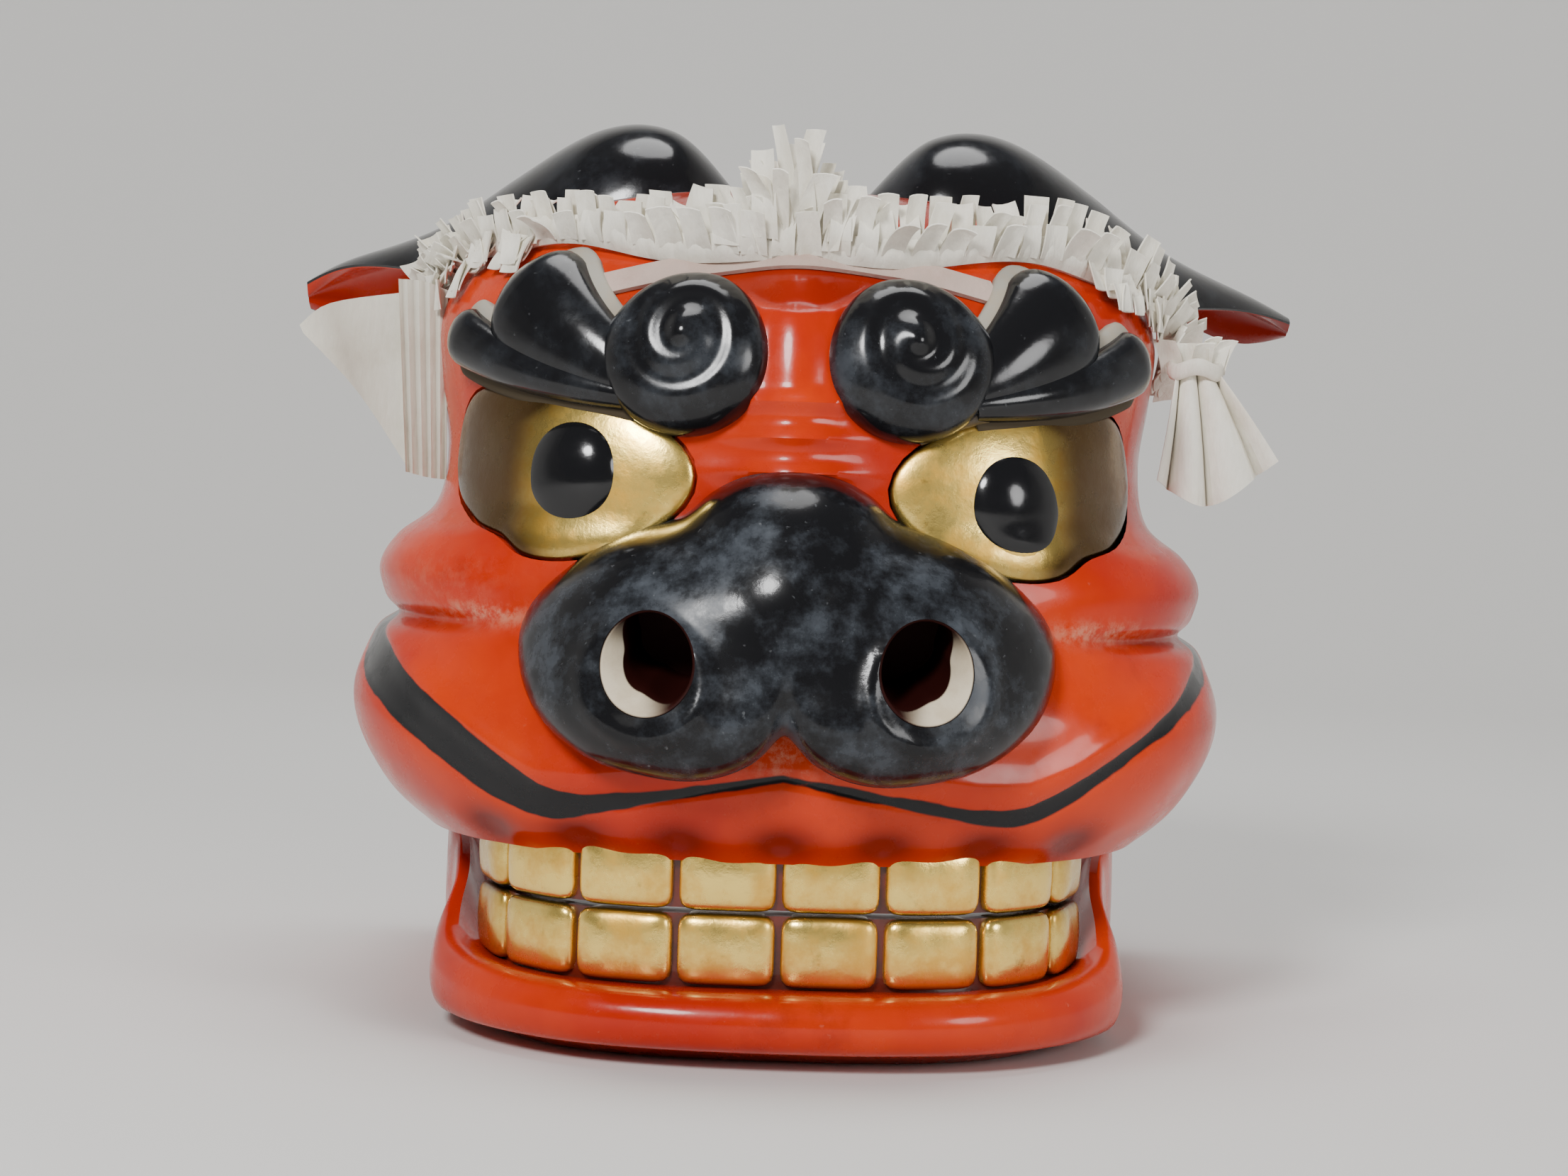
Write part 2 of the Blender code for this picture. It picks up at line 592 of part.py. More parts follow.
def jaw_floor_outline():
    """Return the floor's outline, which overlaps the wall's foot and carries the lugs."""
    length, points, along = tooth_arc(TEETH_HALF_WIDTH, TEETH_DEPTH, TEETH_BACKING * 0.5)
    side = [tuple(points[i]) for i in range(0, 250, 25)]
    back = HINGE_Y + LUG_RADIUS + LUG_CLEARANCE
    edges = [jaw_edge(share)[0] for share in np.linspace(0.55, 1, 10)]
    side += [(x - 0.6 * JAW_WALL, y) for x, y in edges if 0 < y < back - JAW_WALL / 2]
    side.append((side[-1][0], back))
    return side + [(-x, y) for x, y in side[:0:-1]]


def lug_mesh(start_x, end_x):
    """Make a round-topped lug that stands on the jaw floor around the rod."""
    outline = [(LUG_RADIUS * math.cos(a), HINGE_HEIGHT + LUG_RADIUS * math.sin(a))
               for a in np.linspace(0, math.pi, 13)]
    outline += [(-LUG_RADIUS, 0.5 * JAW_FLOOR), (LUG_RADIUS, 0.5 * JAW_FLOOR)]
    return swept_mesh(np.array([[(x, HINGE_Y + y, z) for y, z in outline] for x in (start_x, end_x)]))


def make_jaw(parent):
    """Make the lower jaw as one solid tray with lip, teeth and hinge lugs."""
    jaw = new_object("lower_jaw", jaw_wall_mesh(), "red_lacquer", parent)
    shapes = [guide("jaw_floor", prism_mesh(jaw_floor_outline(), 0.0, JAW_FLOOR), parent)]
    high = BITE_HEIGHT - BITE_GAP / 2
    shapes.append(guide("lower_gum", gum_mesh(LIP_TOP - GUM_ROOT, high - GUM_SETBACK, 0.8 * TEETH_BACKING), parent))
    shapes += teeth("lower_tooth", high - LOWER_TOOTH_HEIGHT, high, parent)
    lug_face = head_half_width(HEAD_BACK, MOUTH_EDGE_HEIGHT, HEAD_WALL) - LUG_CLEARANCE
    for side in (-1, 1):
        shapes.append(guide(f"lug_{side}", lug_mesh(side * (lug_face - LUG_THICKNESS), side * lug_face), parent))
    join(jaw, shapes)
    rod_hole = bar_mesh((-1, HINGE_Y, HINGE_HEIGHT), (1, HINGE_Y, HINGE_HEIGHT), ROD_RADIUS + ROD_CLEARANCE)
    join(jaw, [guide("jaw_rod_hole", rod_hole, parent)], "DIFFERENCE")
    return jaw


def head_half_width(y, z, wall=0.0):
    """Return the half width of the head's outer side, or of its inner side under a wall, behind its ears."""
    rise = np.interp((z - MOUTH_EDGE_HEIGHT) / HEAD_HEIGHT, HEIGHT_TABLE, RISE_TABLE)
    turn = math.pi / 2 + BACK_TURN * y / HEAD_BACK
    return float(head_surface(np.array(turn), np.array(rise), wall, wall == 0)[0])


def make_rod(parent):
    """Make the hinge rod, which ends just inside the head's outer sides."""
    reach = head_half_width(HINGE_Y, HINGE_HEIGHT) - ROD_END_MARGIN
    mesh = bar_mesh((-reach, HINGE_Y, HINGE_HEIGHT), (reach, HINGE_Y, HINGE_HEIGHT), ROD_RADIUS, 20)
    return new_object("jaw_hinge_rod", mesh, "bare_wood", parent)


# Ear spine from the crown to the tip, in shares of its reach: across, above the crown and back; then its
# width share and how far it rolls forward in degrees
EAR_ROWS = (
    (0.13, -0.036, 0.061, 0.40, 60), (0.25, 0.050, 0.073, 0.80, 55), (0.40, 0.065, 0.109, 1.00, 45),
    (0.57, 0.005, 0.152, 1.00, 28), (0.74, -0.079, 0.194, 0.85, 0), (0.90, -0.148, 0.242, 0.55, -24),
    (1.00, -0.191, 0.279, 0.16, -34),
)


def make_ear(side, parent):
    """Make one cupped ear: a leaf whose section is an arc that rolls open towards its tip."""
    sections, across = [], np.linspace(-1, 1, 8)
    for share in np.linspace(0, 1, 14):
        reach, height, back, width, roll = smooth_rows(EAR_ROWS, share)
        roll += EAR_TIP_ROLL[side] * share**2
        centre = np.array([side * reach * EAR_REACH, EAR_SETBACK + back * EAR_REACH,
                           MOUTH_EDGE_HEIGHT + HEAD_HEIGHT + height * EAR_REACH])
        ring = []
        for inset, order in ((0.0, across), (EAR_WALL, across[::-1])):
            for place in order:
                bend = math.radians(62) * place
                radius = EAR_WIDTH * width / 1.9 + 0.002
                lean = math.radians(roll)
                out = np.array([0, math.sin(bend - lean), math.cos(bend - lean)])
                ring.append(centre + out * (radius - inset) - np.array([0, 0, radius]) * math.cos(lean))
        sections.append(ring)
    word = "left_ear" if side < 0 else "right_ear"
    return seat(new_object(word, swept_mesh(np.array(sections)), "black_lacquer", parent), parent)


# Fringe line from left to right: turn in hundredths of a quarter turn, height share and tab length
FRINGE_ROWS = (
    (-99, 0.830, 0.006), (-84, 0.875, 0.006), (-66, 0.885, 0.007), (-48, 0.882, 0.007), (-30, 0.870, 0.009),
    (-16, 0.862, 0.021), (-9, 0.860, 0.028), (-1, 0.860, 0.021), (14, 0.865, 0.012), (38, 0.875, 0.009),
    (58, 0.878, 0.010), (76, 0.862, 0.009), (90, 0.805, 0.008), (100, 0.745, 0.007),
)


def make_fringe(parent):
    """Make the cut paper band as one comb of tabs that stand up from it."""
    turns, heights, tabs = smooth_rows(FRINGE_ROWS, np.linspace(0, 1, 200)).T
    turns = turns / 100 * math.pi / 2
    line = head_point(turns, heights, FRINGE_LIFT, False)
    length = np.concatenate([[0], np.cumsum(np.linalg.norm(np.diff(line, axis=0), axis=1))])
    pitch = TAB_WIDTH + TAB_GAP
    stations = []
    for index in range(int(length[-1] / pitch)):
        start = index * pitch
        stations += [(start, True), (start + TAB_WIDTH, True), (start + TAB_WIDTH + 0.02 * TAB_GAP, False),
                     (start + 0.98 * pitch, False)]
    sections = []
    for place, tall in stations:
        foot = np.array([np.interp(place, length, line[:, i]) for i in range(3)])
        high = FRINGE_BAND + (np.interp(place, length, tabs) if tall else 0.0)
        out = foot * (1, 1, 0) / np.linalg.norm(foot[:2])
        up = np.array([0, 0, 1]) - FRINGE_LEAN * out
        sections.append([foot, foot + out * PAPER_STACK, foot + out * PAPER_STACK + up * high, foot + up * high])
    mesh = swept_mesh(np.array(sections))
    return seat(new_object("paper_fringe", mesh, "white_paper", parent, smooth=False), parent)


def make_hanging(name, outline, depth, thickness, parent):
    """Make one folded paper hanging as a thin closed slab with its true outline."""
    sections = [[(x * HALF_WIDTH, depth + back, z) for x, z in outline] for back in (thickness, 0.0)]
    return seat(new_object(name, swept_mesh(np.array(sections)), "white_paper", parent, smooth=False), parent)


LEFT_HANGING = ((-1.16, 0.206), (-1.10, 0.213), (-0.83, 0.218), (-0.76, 0.160), (-0.82, 0.158), (-1.00, 0.183))
RIGHT_HANGING = ((0.87, 0.204), (0.95, 0.211), (1.03, 0.204), (1.13, 0.177), (1.11, 0.170), (0.95, 0.158),
                 (0.80, 0.164))


def main():
    """Build every piece of the mask."""
    for item in list(bpy.data.objects):
        bpy.data.objects.remove(item, do_unlink=True)
    jaw_body = bpy.data.objects.new("jaw_body", None)
    head_body = bpy.data.objects.new("head_body", None)
    head_body.location = (0, HINGE_Y, HINGE_HEIGHT)
    for empty in (jaw_body, head_body):
        bpy.context.collection.objects.link(empty)
    bpy.context.view_layer.update()
    make_jaw(jaw_body)
    make_head(head_body)
    make_rod(head_body)
    for side in (-1, 1):
        make_ear(side, head_body)
    make_fringe(head_body)
    make_hanging("left_paper_hanging", LEFT_HANGING, LEFT_HANGING_BACK, LEFT_HANGING_THICKNESS, head_body)
    make_hanging("right_paper_hanging", RIGHT_HANGING, RIGHT_HANGING_BACK, RIGHT_HANGING_THICKNESS, head_body)


main()
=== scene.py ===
"""Looks of the lacquered lion dance mask, on the frame of its CAD model."""
import bpy
import bmesh
import math
import random
import numpy as np
from mathutils import Matrix, Vector
from mathutils.bvhtree import BVHTree


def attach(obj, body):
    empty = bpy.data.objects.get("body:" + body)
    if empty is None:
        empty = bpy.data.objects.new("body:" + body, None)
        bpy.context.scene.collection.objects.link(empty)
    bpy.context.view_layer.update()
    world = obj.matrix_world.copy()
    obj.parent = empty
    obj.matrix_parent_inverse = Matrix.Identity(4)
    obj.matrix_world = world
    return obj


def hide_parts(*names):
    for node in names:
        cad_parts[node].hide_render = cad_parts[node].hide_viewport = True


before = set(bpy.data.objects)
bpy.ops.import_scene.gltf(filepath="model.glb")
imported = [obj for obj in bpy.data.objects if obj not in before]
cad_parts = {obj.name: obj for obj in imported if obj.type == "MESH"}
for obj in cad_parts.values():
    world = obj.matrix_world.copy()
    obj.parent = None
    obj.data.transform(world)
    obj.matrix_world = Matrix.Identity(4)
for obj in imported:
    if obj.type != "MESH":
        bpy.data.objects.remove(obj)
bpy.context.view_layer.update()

# Sizes shared with the CAD model, in metres
HALF_WIDTH = 0.132
HEAD_HEIGHT = 0.198
FACE_DEPTH = 0.121
HEAD_BACK = 0.105
MOUTH_EDGE_HEIGHT = 0.056
HEAD_WALL = 0.009
NOSE_DEPTH = 0.034
NOSE_UP = 0.33
NOSTRIL_RADIUS = 0.0135
NOSTRIL_ACROSS = 0.040
NOSTRIL_DEPTH = 0.034
SECTION_POWER = 2.4
BACK_NARROWING = 0.07
TEETH_HALF_WIDTH = 0.090
TEETH_DEPTH = 0.1085
TEETH_POWER = 3.2
TEETH_BACKING = 0.012
TOOTH_PITCH = 0.029
TOOTH_GAP = 0.0014
TEETH_PER_SIDE = 4
BITE_HEIGHT = 0.0415
UPPER_GUM_TOP = 0.069
HINGE_Y = 0.078
HINGE_HEIGHT = 0.074
ROD_RADIUS = 0.005
JAW_HALF_WIDTH = 0.103
LIP_DEPTH = 0.133
JAW_BACK = 0.098
JAW_FLOOR = 0.009
JAW_WALL = 0.010
LIP_TOP = 0.021
LIP_CORNER_TOP = 0.040
JAW_SIDE_TOP = 0.0535
LUG_RADIUS = 0.013
LUG_THICKNESS = 0.009
LUG_CLEARANCE = 0.0015
EAR_REACH = 0.165
EAR_WIDTH = 0.062
EAR_WALL = 0.005
EAR_SETBACK = 0.008
EAR_TIP_ROLL = {-1: -8, 1: 14}

SIDE_WORD = {-1: "left", 1: "right"}

# Head outline, from the mouth edge up to the crown: height, half width and front depth in percent
HEAD_ROWS = (
    (0, 84, 93), (5, 92, 98), (12, 97, 100), (21, 100, 98), (28, 98, 94), (33, 95, 92), (39, 96, 90),
    (44, 92, 88), (49, 84, 86), (58, 82, 85), (68, 84, 83), (77, 85, 79), (84, 81, 72), (91, 70, 61),
    (96, 52, 43), (99, 28, 23), (100, 0, 0),
)
# Where the painted mouth line runs: turn in radians, height share, and half width in metres on the left
# and on the right
MOUTH_LINE = (
    (0.00, 0.126, 0.0010, 0.0010), (0.13, 0.112, 0.0013, 0.0013), (0.28, 0.095, 0.0019, 0.0017),
    (0.45, 0.077, 0.0030, 0.0021), (0.56, 0.076, 0.0048, 0.0026), (0.66, 0.103, 0.0062, 0.0024),
    (0.77, 0.148, 0.0066, 0.0021), (0.89, 0.193, 0.0064, 0.0021), (1.04, 0.237, 0.0062, 0.0026),
    (1.22, 0.275, 0.0058, 0.0032), (1.42, 0.320, 0.0052, 0.0040), (1.60, 0.380, 0.0036, 0.0036),
    (1.68, 0.440, 0.0012, 0.0012),
)


def smooth_rows(rows, share):
    """Read a smooth curve through evenly spaced rows, at shares from 0 to 1."""
    rows = np.asarray(rows, float)
    place = np.clip(np.asarray(share, float), 0, 1) * (len(rows) - 1)
    start = np.minimum(place.astype(int), len(rows) - 2)
    t = (place - start)[..., None]
    before, first = rows[np.maximum(start - 1, 0)], rows[start]
    second, after = rows[start + 1], rows[np.minimum(start + 2, len(rows) - 1)]
    return 0.5 * (2 * first + (second - before) * t + (2 * before - 5 * first + 4 * second - after) * t**2
                  + (3 * first - before - 3 * second + after) * t**3)


def hill(distance):
    """Return a smooth hill that is 1 at no distance and fades past a distance of 1."""
    return np.exp(-np.asarray(distance) ** 2 * 1.6)


def circle(count):
    """Return evenly spaced angles around a full turn."""
    return np.linspace(0, 2 * math.pi, count, endpoint=False)


def ramp(value, low, high):
    """Rise smoothly from 0 at low to 1 at high."""
    t = np.clip((value - low) / (high - low), 0, 1)
    return t * t * (3 - 2 * t)


TOOTH_TURN_RADIUS = 0.118
NOSTRIL_UP = 0.274
ROD_CLEARANCE = 0.0004
SOCKET_MARGIN = 0.0012
SOCKET_HEIGHT = 0.014
HOLE_FROM = 0.08
HOLE_TO = 0.20
RISE_TABLE = np.linspace(0, 1, 400)
HEIGHT_TABLE = smooth_rows(HEAD_ROWS, RISE_TABLE)[:, 0] / 100
MEAN_RADIUS = (0.82 * HALF_WIDTH + 0.85 * FACE_DEPTH) / 2
BACK_TURN = HEAD_BACK / MEAN_RADIUS


def mouth_distance(turn, height):
    """Return how far a point of the head is inside the painted mouth line, in metres; outside is below 0."""
    line = smooth_rows(MOUTH_LINE, np.linspace(0, 1, 60))
    x, z = np.abs(turn) * MEAN_RADIUS, height * HEAD_HEIGHT
    half = np.where(np.asarray(turn)[..., None] < 0, line[:, 2], line[:, 3])
    ax, az = line[:-1, 0] * MEAN_RADIUS, line[:-1, 1] * HEAD_HEIGHT
    dx, dz = np.diff(line[:, 0]) * MEAN_RADIUS, np.diff(line[:, 1]) * HEAD_HEIGHT
    best = np.full(np.shape(x), -1.0)
    for i in range(len(ax)):
        t = np.clip(((x - ax[i]) * dx[i] + (z - az[i]) * dz[i]) / (dx[i] ** 2 + dz[i] ** 2), 0, 1)
        gap = np.hypot(x - ax[i] - t * dx[i], z - az[i] - t * dz[i])
        width = half[..., i] * (1 - t) + half[..., i + 1] * t
        best = np.maximum(best, width - gap)
    return best


def head_relief(turn, height):
    """Return how far the carving stands out at a turn in radians and a height share of the head."""
    side = np.abs(turn)
    out = 0.006 * hill(np.hypot((side - 1.05) / 0.50, (height - 0.17) / 0.13))
    out += 0.004 * hill(np.hypot((side - 1.05) / 0.45, (height - 0.41) / 0.09))
    out -= 0.004 * hill((height - 0.32) / 0.018) * ramp(side, 0.65, 0.95) * (1 - ramp(side, 1.5, 1.9))
    out += 0.007 * hill(turn / 0.17) * ramp(height, 0.50, 0.56) * (1 - ramp(height, 0.83, 0.93))
    for wrinkle in (0.555, 0.605, 0.655):
        out += 0.0022 * hill((height - wrinkle) / 0.014) * hill(turn / 0.22)
    return out


def fine_relief(turn, height):
    """Return the finer carving that the CAD leaves out: lip roll, gums, forehead facet and bridge edges."""
    side = np.abs(turn)
    line = mouth_distance(turn, height)
    out = -0.0007 * ramp(line, -0.0015, 0.0008)
    centre = np.interp(side, [row[0] for row in MOUTH_LINE], [row[1] for row in MOUTH_LINE])
    above = (height - centre) * HEAD_HEIGHT
    out = out + 0.0016 * hill((above - 0.008) / 0.006) * ramp(side, 0.02, 0.30) * (1 - ramp(side, 0.9, 1.3))
    tooth = np.cos(side * TOOTH_TURN_RADIUS / TOOTH_PITCH * 2 * math.pi)
    gums = hill((height - 0.030) / 0.032) * (1 - ramp(side, 0.75, 0.95))
    out = out - 0.0011 * gums * tooth
    facet = ramp(0.30 - side - (0.84 - height) * 4.6, -0.05, 0.02) * (1 - ramp(height, 0.86, 0.90))
    out = out - 0.0018 * facet * ramp(height, 0.78, 0.80)
    bridge = ramp(height, 0.62, 0.68) * (1 - ramp(height, 0.76, 0.80))
    return out + 0.0012 * hill((side - 0.115) / 0.03) * bridge


def head_surface(turn, rise, wall=0.0, detail=2):
    """Return points of the head: detail 0 is the plain form, 1 has the CAD's carving and 2 the finer one."""
    rows = smooth_rows(HEAD_ROWS, rise) / 100
    grow = head_relief(turn, rows[..., 0]) if detail else 0.0
    if detail == 2:
        grow = grow + fine_relief(turn, rows[..., 0])
    half = rows[..., 1] * HALF_WIDTH * (1 - wall / HALF_WIDTH)
    deep = rows[..., 2] * FACE_DEPTH * (1 - wall / FACE_DEPTH)
    z = MOUTH_EDGE_HEIGHT + rows[..., 0] * (HEAD_HEIGHT - wall)
    side = np.clip(np.abs(turn), 0, math.pi / 2)
    safe_half, safe_deep = np.maximum(half, 1e-6), np.maximum(deep, 1e-6)
    radius = ((np.sin(side) / safe_half) ** SECTION_POWER
              + (np.cos(side) / safe_deep) ** SECTION_POWER) ** (-1 / SECTION_POWER)
    radius = radius + grow * np.minimum(1, half / (0.3 * HALF_WIDTH))
    back = np.clip((np.abs(turn) - math.pi / 2) / BACK_TURN, 0, 1)
    x = np.sign(turn) * radius * np.sin(side) * (1 - BACK_NARROWING * back**2)
    y = -radius * np.cos(side) * (side < math.pi / 2) + back * HEAD_BACK
    return np.stack([x, y, z + 0 * x], axis=-1)


def head_point(turn, height, lift=0.0, detail=0):
    """Return points on the head's outer surface, lifted along the normal of its plain form."""
    def base(turn, height, detail):
        return head_surface(turn, np.interp(height, HEIGHT_TABLE, RISE_TABLE), 0.0, detail)
    turn, height = np.broadcast_arrays(np.asarray(turn, float), np.asarray(height, float))
    here = base(turn, height, detail)
    step = 0.03
    across = base(turn + step, height, 0) - base(turn - step, height, 0)
    up = base(turn, height + step, 0) - base(turn, height - step, 0)
    normal = np.cross(across, up)
    normal /= np.linalg.norm(normal, axis=-1, keepdims=True)
    return here + normal * np.asarray(lift)[..., None]


def turn_at(across, height):
    """Return the turn in radians of a point at a share of the half width and a height share."""
    rows = smooth_rows(HEAD_ROWS, np.interp(height, HEIGHT_TABLE, RISE_TABLE)) / 100
    x, half, deep = across * HALF_WIDTH, rows[..., 1] * HALF_WIDTH, rows[..., 2] * FACE_DEPTH
    y = deep * (1 - np.clip(np.abs(x) / half, 0, 0.999) ** SECTION_POWER) ** (1 / SECTION_POWER)
    return np.arctan2(x, y)


# Shader building blocks

def new_material(name):
    """Return an empty node material with its Principled shader and a function that adds linked nodes."""
    made = bpy.data.materials.new(name)
    made.use_nodes = True
    tree = made.node_tree
    shader = tree.nodes["Principled BSDF"]

    def node(kind, inputs=None, **settings):
        item = tree.nodes.new("ShaderNode" + kind)
        for key, value in settings.items():
            setattr(item, key, value)
        for key, value in (inputs or {}).items():
            if isinstance(value, bpy.types.NodeSocket):
                tree.links.new(value, item.inputs[key])
            else:
                item.inputs[key].default_value = value
        return item

    def feed(socket, value):
        if isinstance(value, bpy.types.NodeSocket):
            tree.links.new(value, shader.inputs[socket])
        else:
            shader.inputs[socket].default_value = value
    return made, node, feed


def mixed(node, share, first, second):
    """Return the socket of a colour mix between two colours."""
    item = node("Mix", {0: share}, data_type="RGBA")
    for index, value in ((6, first), (7, second)):
        if isinstance(value, bpy.types.NodeSocket):
            item.id_data.links.new(value, item.inputs[index])
        else:
            item.inputs[index].default_value = value
    return item.outputs[2]


def noise(node, scale, detail=4, rough=0.55, place=None, low=0.35, high=0.65):
    """Return a noise value that is stretched to the range from 0 to 1."""
    place = place or node("TexCoord").outputs["Object"]
    wave = node("TexNoise", {"Vector": place, "Scale": scale, "Detail": detail, "Roughness": rough})
    return spread(node, wave.outputs["Fac"], low, high)


def spread(node, value, low, high, smooth=True):
    """Return a value mapped so that low gives 0 and high gives 1."""
    kind = "SMOOTHSTEP" if smooth else "LINEAR"
    item = node("MapRange", {"Value": value, "From Min": low, "From Max": high}, interpolation_type=kind)
    return item.outputs["Result"]


def times(node, first, second):
    """Return the socket of a product, kept between 0 and 1."""
    return node("Math", {0: first, 1: second}, operation="MULTIPLY", use_clamp=True).outputs[0]


def times_add(node, value, factor, offset):
    """Return the socket of a value that is multiplied and then shifted."""
    return node("Math", {0: value, 1: factor, 2: offset}, operation="MULTIPLY_ADD").outputs[0]


def attribute(node, name):
    """Return the socket of a value painted on the mesh."""
    return node("Attribute", attribute_name=name).outputs["Fac"]


def bump(node, height, strength, distance):
    """Return the socket of a bump."""
    return node("Bump", {"Height": height, "Strength": strength, "Distance": distance}).outputs["Normal"]


RED = (0.45, 0.014, 0.001, 1)
RED_ORANGE = (0.62, 0.040, 0.0015, 1)
RED_DARK = (0.12, 0.004, 0.0015, 1)
BLACK = (0.007, 0.007, 0.008, 1)
# grey-blue of the patches on black lacquer: partly dust, partly a painted sheen
BLOOM_AND_SHEEN = (0.064, 0.074, 0.088, 1)
DUST = (0.20, 0.21, 0.22, 1)
# pink of rubbed patches and specks, also used for a painted highlight under the nose
SCUFF_AND_HIGHLIGHT = (0.62, 0.26, 0.16, 1)
GOLD_PALE = (1.0, 0.72, 0.19, 1)
GOLD_DEEP = (0.86, 0.50, 0.08, 1)
GOLD_WORN = (0.22, 0.095, 0.013, 1)
# colour of the painted shade on gold
GOLD_DARK = (0.070, 0.030, 0.005, 1)
# colour of the painted shade on paper
PAPER_SHADE = (0.30, 0.24, 0.19, 1)
PAPER_FIBRE = (0.46, 0.41, 0.33, 1)
OLD_DUST = (0.42, 0.30, 0.18, 1)
WOOD_PALE = (0.36, 0.20, 0.09, 1)
WOOD_DARK = (0.19, 0.095, 0.04, 1)


def red_lacquer(name, marks_and_shade=False):
    """Make vermilion lacquer: cloudy orange and red, worn gloss and fine scratches; its second argument adds
    the painted black lines, pink rubbed patches with a painted highlight, and painted shade, all from values on
    the mesh.
    """
    made, node, feed = new_material(name)
    clouds = noise(node, 9, 5, 0.6)
    colour = mixed(node, clouds, RED, RED_ORANGE)
    patches = times(node, noise(node, 26, 6, 0.7, None, 0.56, 0.80), 0.38)
    colour = mixed(node, patches, colour, RED_DARK)
    specks = times(node, noise(node, 420, 3, 0.6, None, 0.68, 0.80), 0.25)
    colour = mixed(node, specks, colour, SCUFF_AND_HIGHLIGHT)
    rough = times_add(node, noise(node, 55, 6, 0.65), 0.16, 0.17)
    if marks_and_shade:
        # painted shade: the red darkens by the mesh's shade value
        shade = times(node, attribute(node, "shade"), 0.85)
        colour = mixed(node, shade, colour, RED_DARK)
        # pink rubbed patches from the mesh: partly wear, partly a painted highlight
        ragged = noise(node, 170, 6, 0.75, None, 0.40, 0.66)
        scuffs_and_highlight = times(node, attribute(node, "scuff"), ragged)
        colour = mixed(node, scuffs_and_highlight, colour, SCUFF_AND_HIGHLIGHT)
        wobble = times_add(node, noise(node, 60, 2), 0.05, -0.025)
        black = spread(node, times_add(node, attribute(node, "paint"), 1.0, wobble), 0.47, 0.53)
        colour = mixed(node, black, colour, BLACK)
    feed("Base Color", colour)
    feed("Roughness", rough)
    feed("Specular IOR Level", 0.22)
    feed("Coat Weight", 0.20)
    feed("Coat Roughness", 0.08)
    feed("Normal", bump(node, noise(node, 60, 7, 0.62, None, 0.2, 0.8), 0.10, 0.0006))
    return made


def black_lacquer(name, dust_and_sheen=0.0):
    """Make black lacquer; its second argument adds grey-blue patches to the colour, partly dust from handling
    and partly a painted sheen.
    """
    made, node, feed = new_material(name)
    # grey-blue patches in the colour, partly dust from handling and partly a painted sheen
    bloom_and_sheen = noise(node, 48, 7, 0.68, None, 0.44, 0.74)
    colour = mixed(node, times(node, bloom_and_sheen, dust_and_sheen), BLACK, BLOOM_AND_SHEEN)
    specks = times(node, noise(node, 500, 2, 0.5, None, 0.70, 0.80), 0.35 * min(1, 2 * dust_and_sheen))
    feed("Base Color", mixed(node, specks, colour, DUST))
    feed("Roughness", times_add(node, bloom_and_sheen, 0.10 + 0.24 * dust_and_sheen, 0.13))
    feed("Specular IOR Level", 0.32 - 0.10 * dust_and_sheen)
    feed("Coat Weight", 0.32 - 0.2 * dust_and_sheen)
    feed("Coat Roughness", 0.08 + 0.20 * dust_and_sheen)
    feed("Normal", bump(node, noise(node, 85, 6, 0.6, None, 0.2, 0.8), 0.12, 0.0005))
    return made


def gold_leaf(name, shaded=False):
    """Make gold leaf with cloudy wear; shaded adds painted shade by the value on the mesh."""
    made, node, feed = new_material(name)
    clouds = noise(node, 70, 6, 0.66, None, 0.38, 0.68)
    colour = mixed(node, clouds, GOLD_PALE, GOLD_DEEP)
    wear = times(node, noise(node, 150, 7, 0.75, None, 0.55, 0.76), 0.5)
    colour = mixed(node, wear, colour, GOLD_WORN)
    if shaded:
        # painted shade: the gold darkens by the mesh's shade value
        dark = times(node, attribute(node, "shade"), 0.96)
        colour = mixed(node, dark, colour, GOLD_DARK)
    feed("Base Color", colour)
    feed("Metallic", 0.9)
    feed("Roughness", times_add(node, clouds, 0.16, 0.24))
    feed("Coat Weight", 0.35)
    feed("Coat Roughness", 0.12)
    feed("Normal", bump(node, noise(node, 120, 6, 0.7, None, 0.2, 0.8), 0.16, 0.0005))
    return made


def paper(name, colour, stain):
    """Make handmade paper with fibres, aged patches and painted shade by the value on the mesh."""
    made, node, feed = new_material(name)
    aged = times(node, noise(node, 38, 6, 0.7, None, 0.45, 0.80), 0.55)
    fibre = node("Mapping", {"Vector": node("TexCoord").outputs["Object"], "Scale": (1, 1, 0.25)}).outputs[0]
    strands = noise(node, 520, 5, 0.6, fibre, 0.3, 0.7)
    base = mixed(node, aged, colour, stain)
    # painted shade: the paper darkens by the mesh's shade value
    painted_shade = times(node, attribute(node, "shade"), 0.6)
    base = mixed(node, painted_shade, base, PAPER_SHADE)
    feed("Base Color", mixed(node, times(node, strands, 0.16), base, PAPER_FIBRE))
    feed("Roughness", 0.82)
    feed("Specular IOR Level", 0.25)
    feed("Normal", bump(node, strands, 0.35, 0.0004))
    return made


def plain_finish(name, first, second, scale, rough, coat=0.0):
    """Make a mottled finish between two colours."""
    made, node, feed = new_material(name)
    clouds = noise(node, scale, 6, 0.65)
    feed("Base Color", mixed(node, clouds, first, second))
    feed("Roughness", times_add(node, clouds, 0.12, rough))
    feed("Coat Weight", coat)
    feed("Normal", bump(node, clouds, 0.2, 0.0005))
    return made


def shaded_finish(name, pale, dark):
    """Make a lacquer with painted shade: it runs from a pale to a dark colour by the value on the mesh."""
    made, node, feed = new_material(name)
    clouds = times(node, noise(node, 110, 6, 0.7), 0.35)
    colour = mixed(node, attribute(node, "shade"), mixed(node, clouds, pale, OLD_DUST), dark)
    feed("Base Color", colour)
    feed("Roughness", 0.6)
    feed("Specular IOR Level", 0.1)
    return made


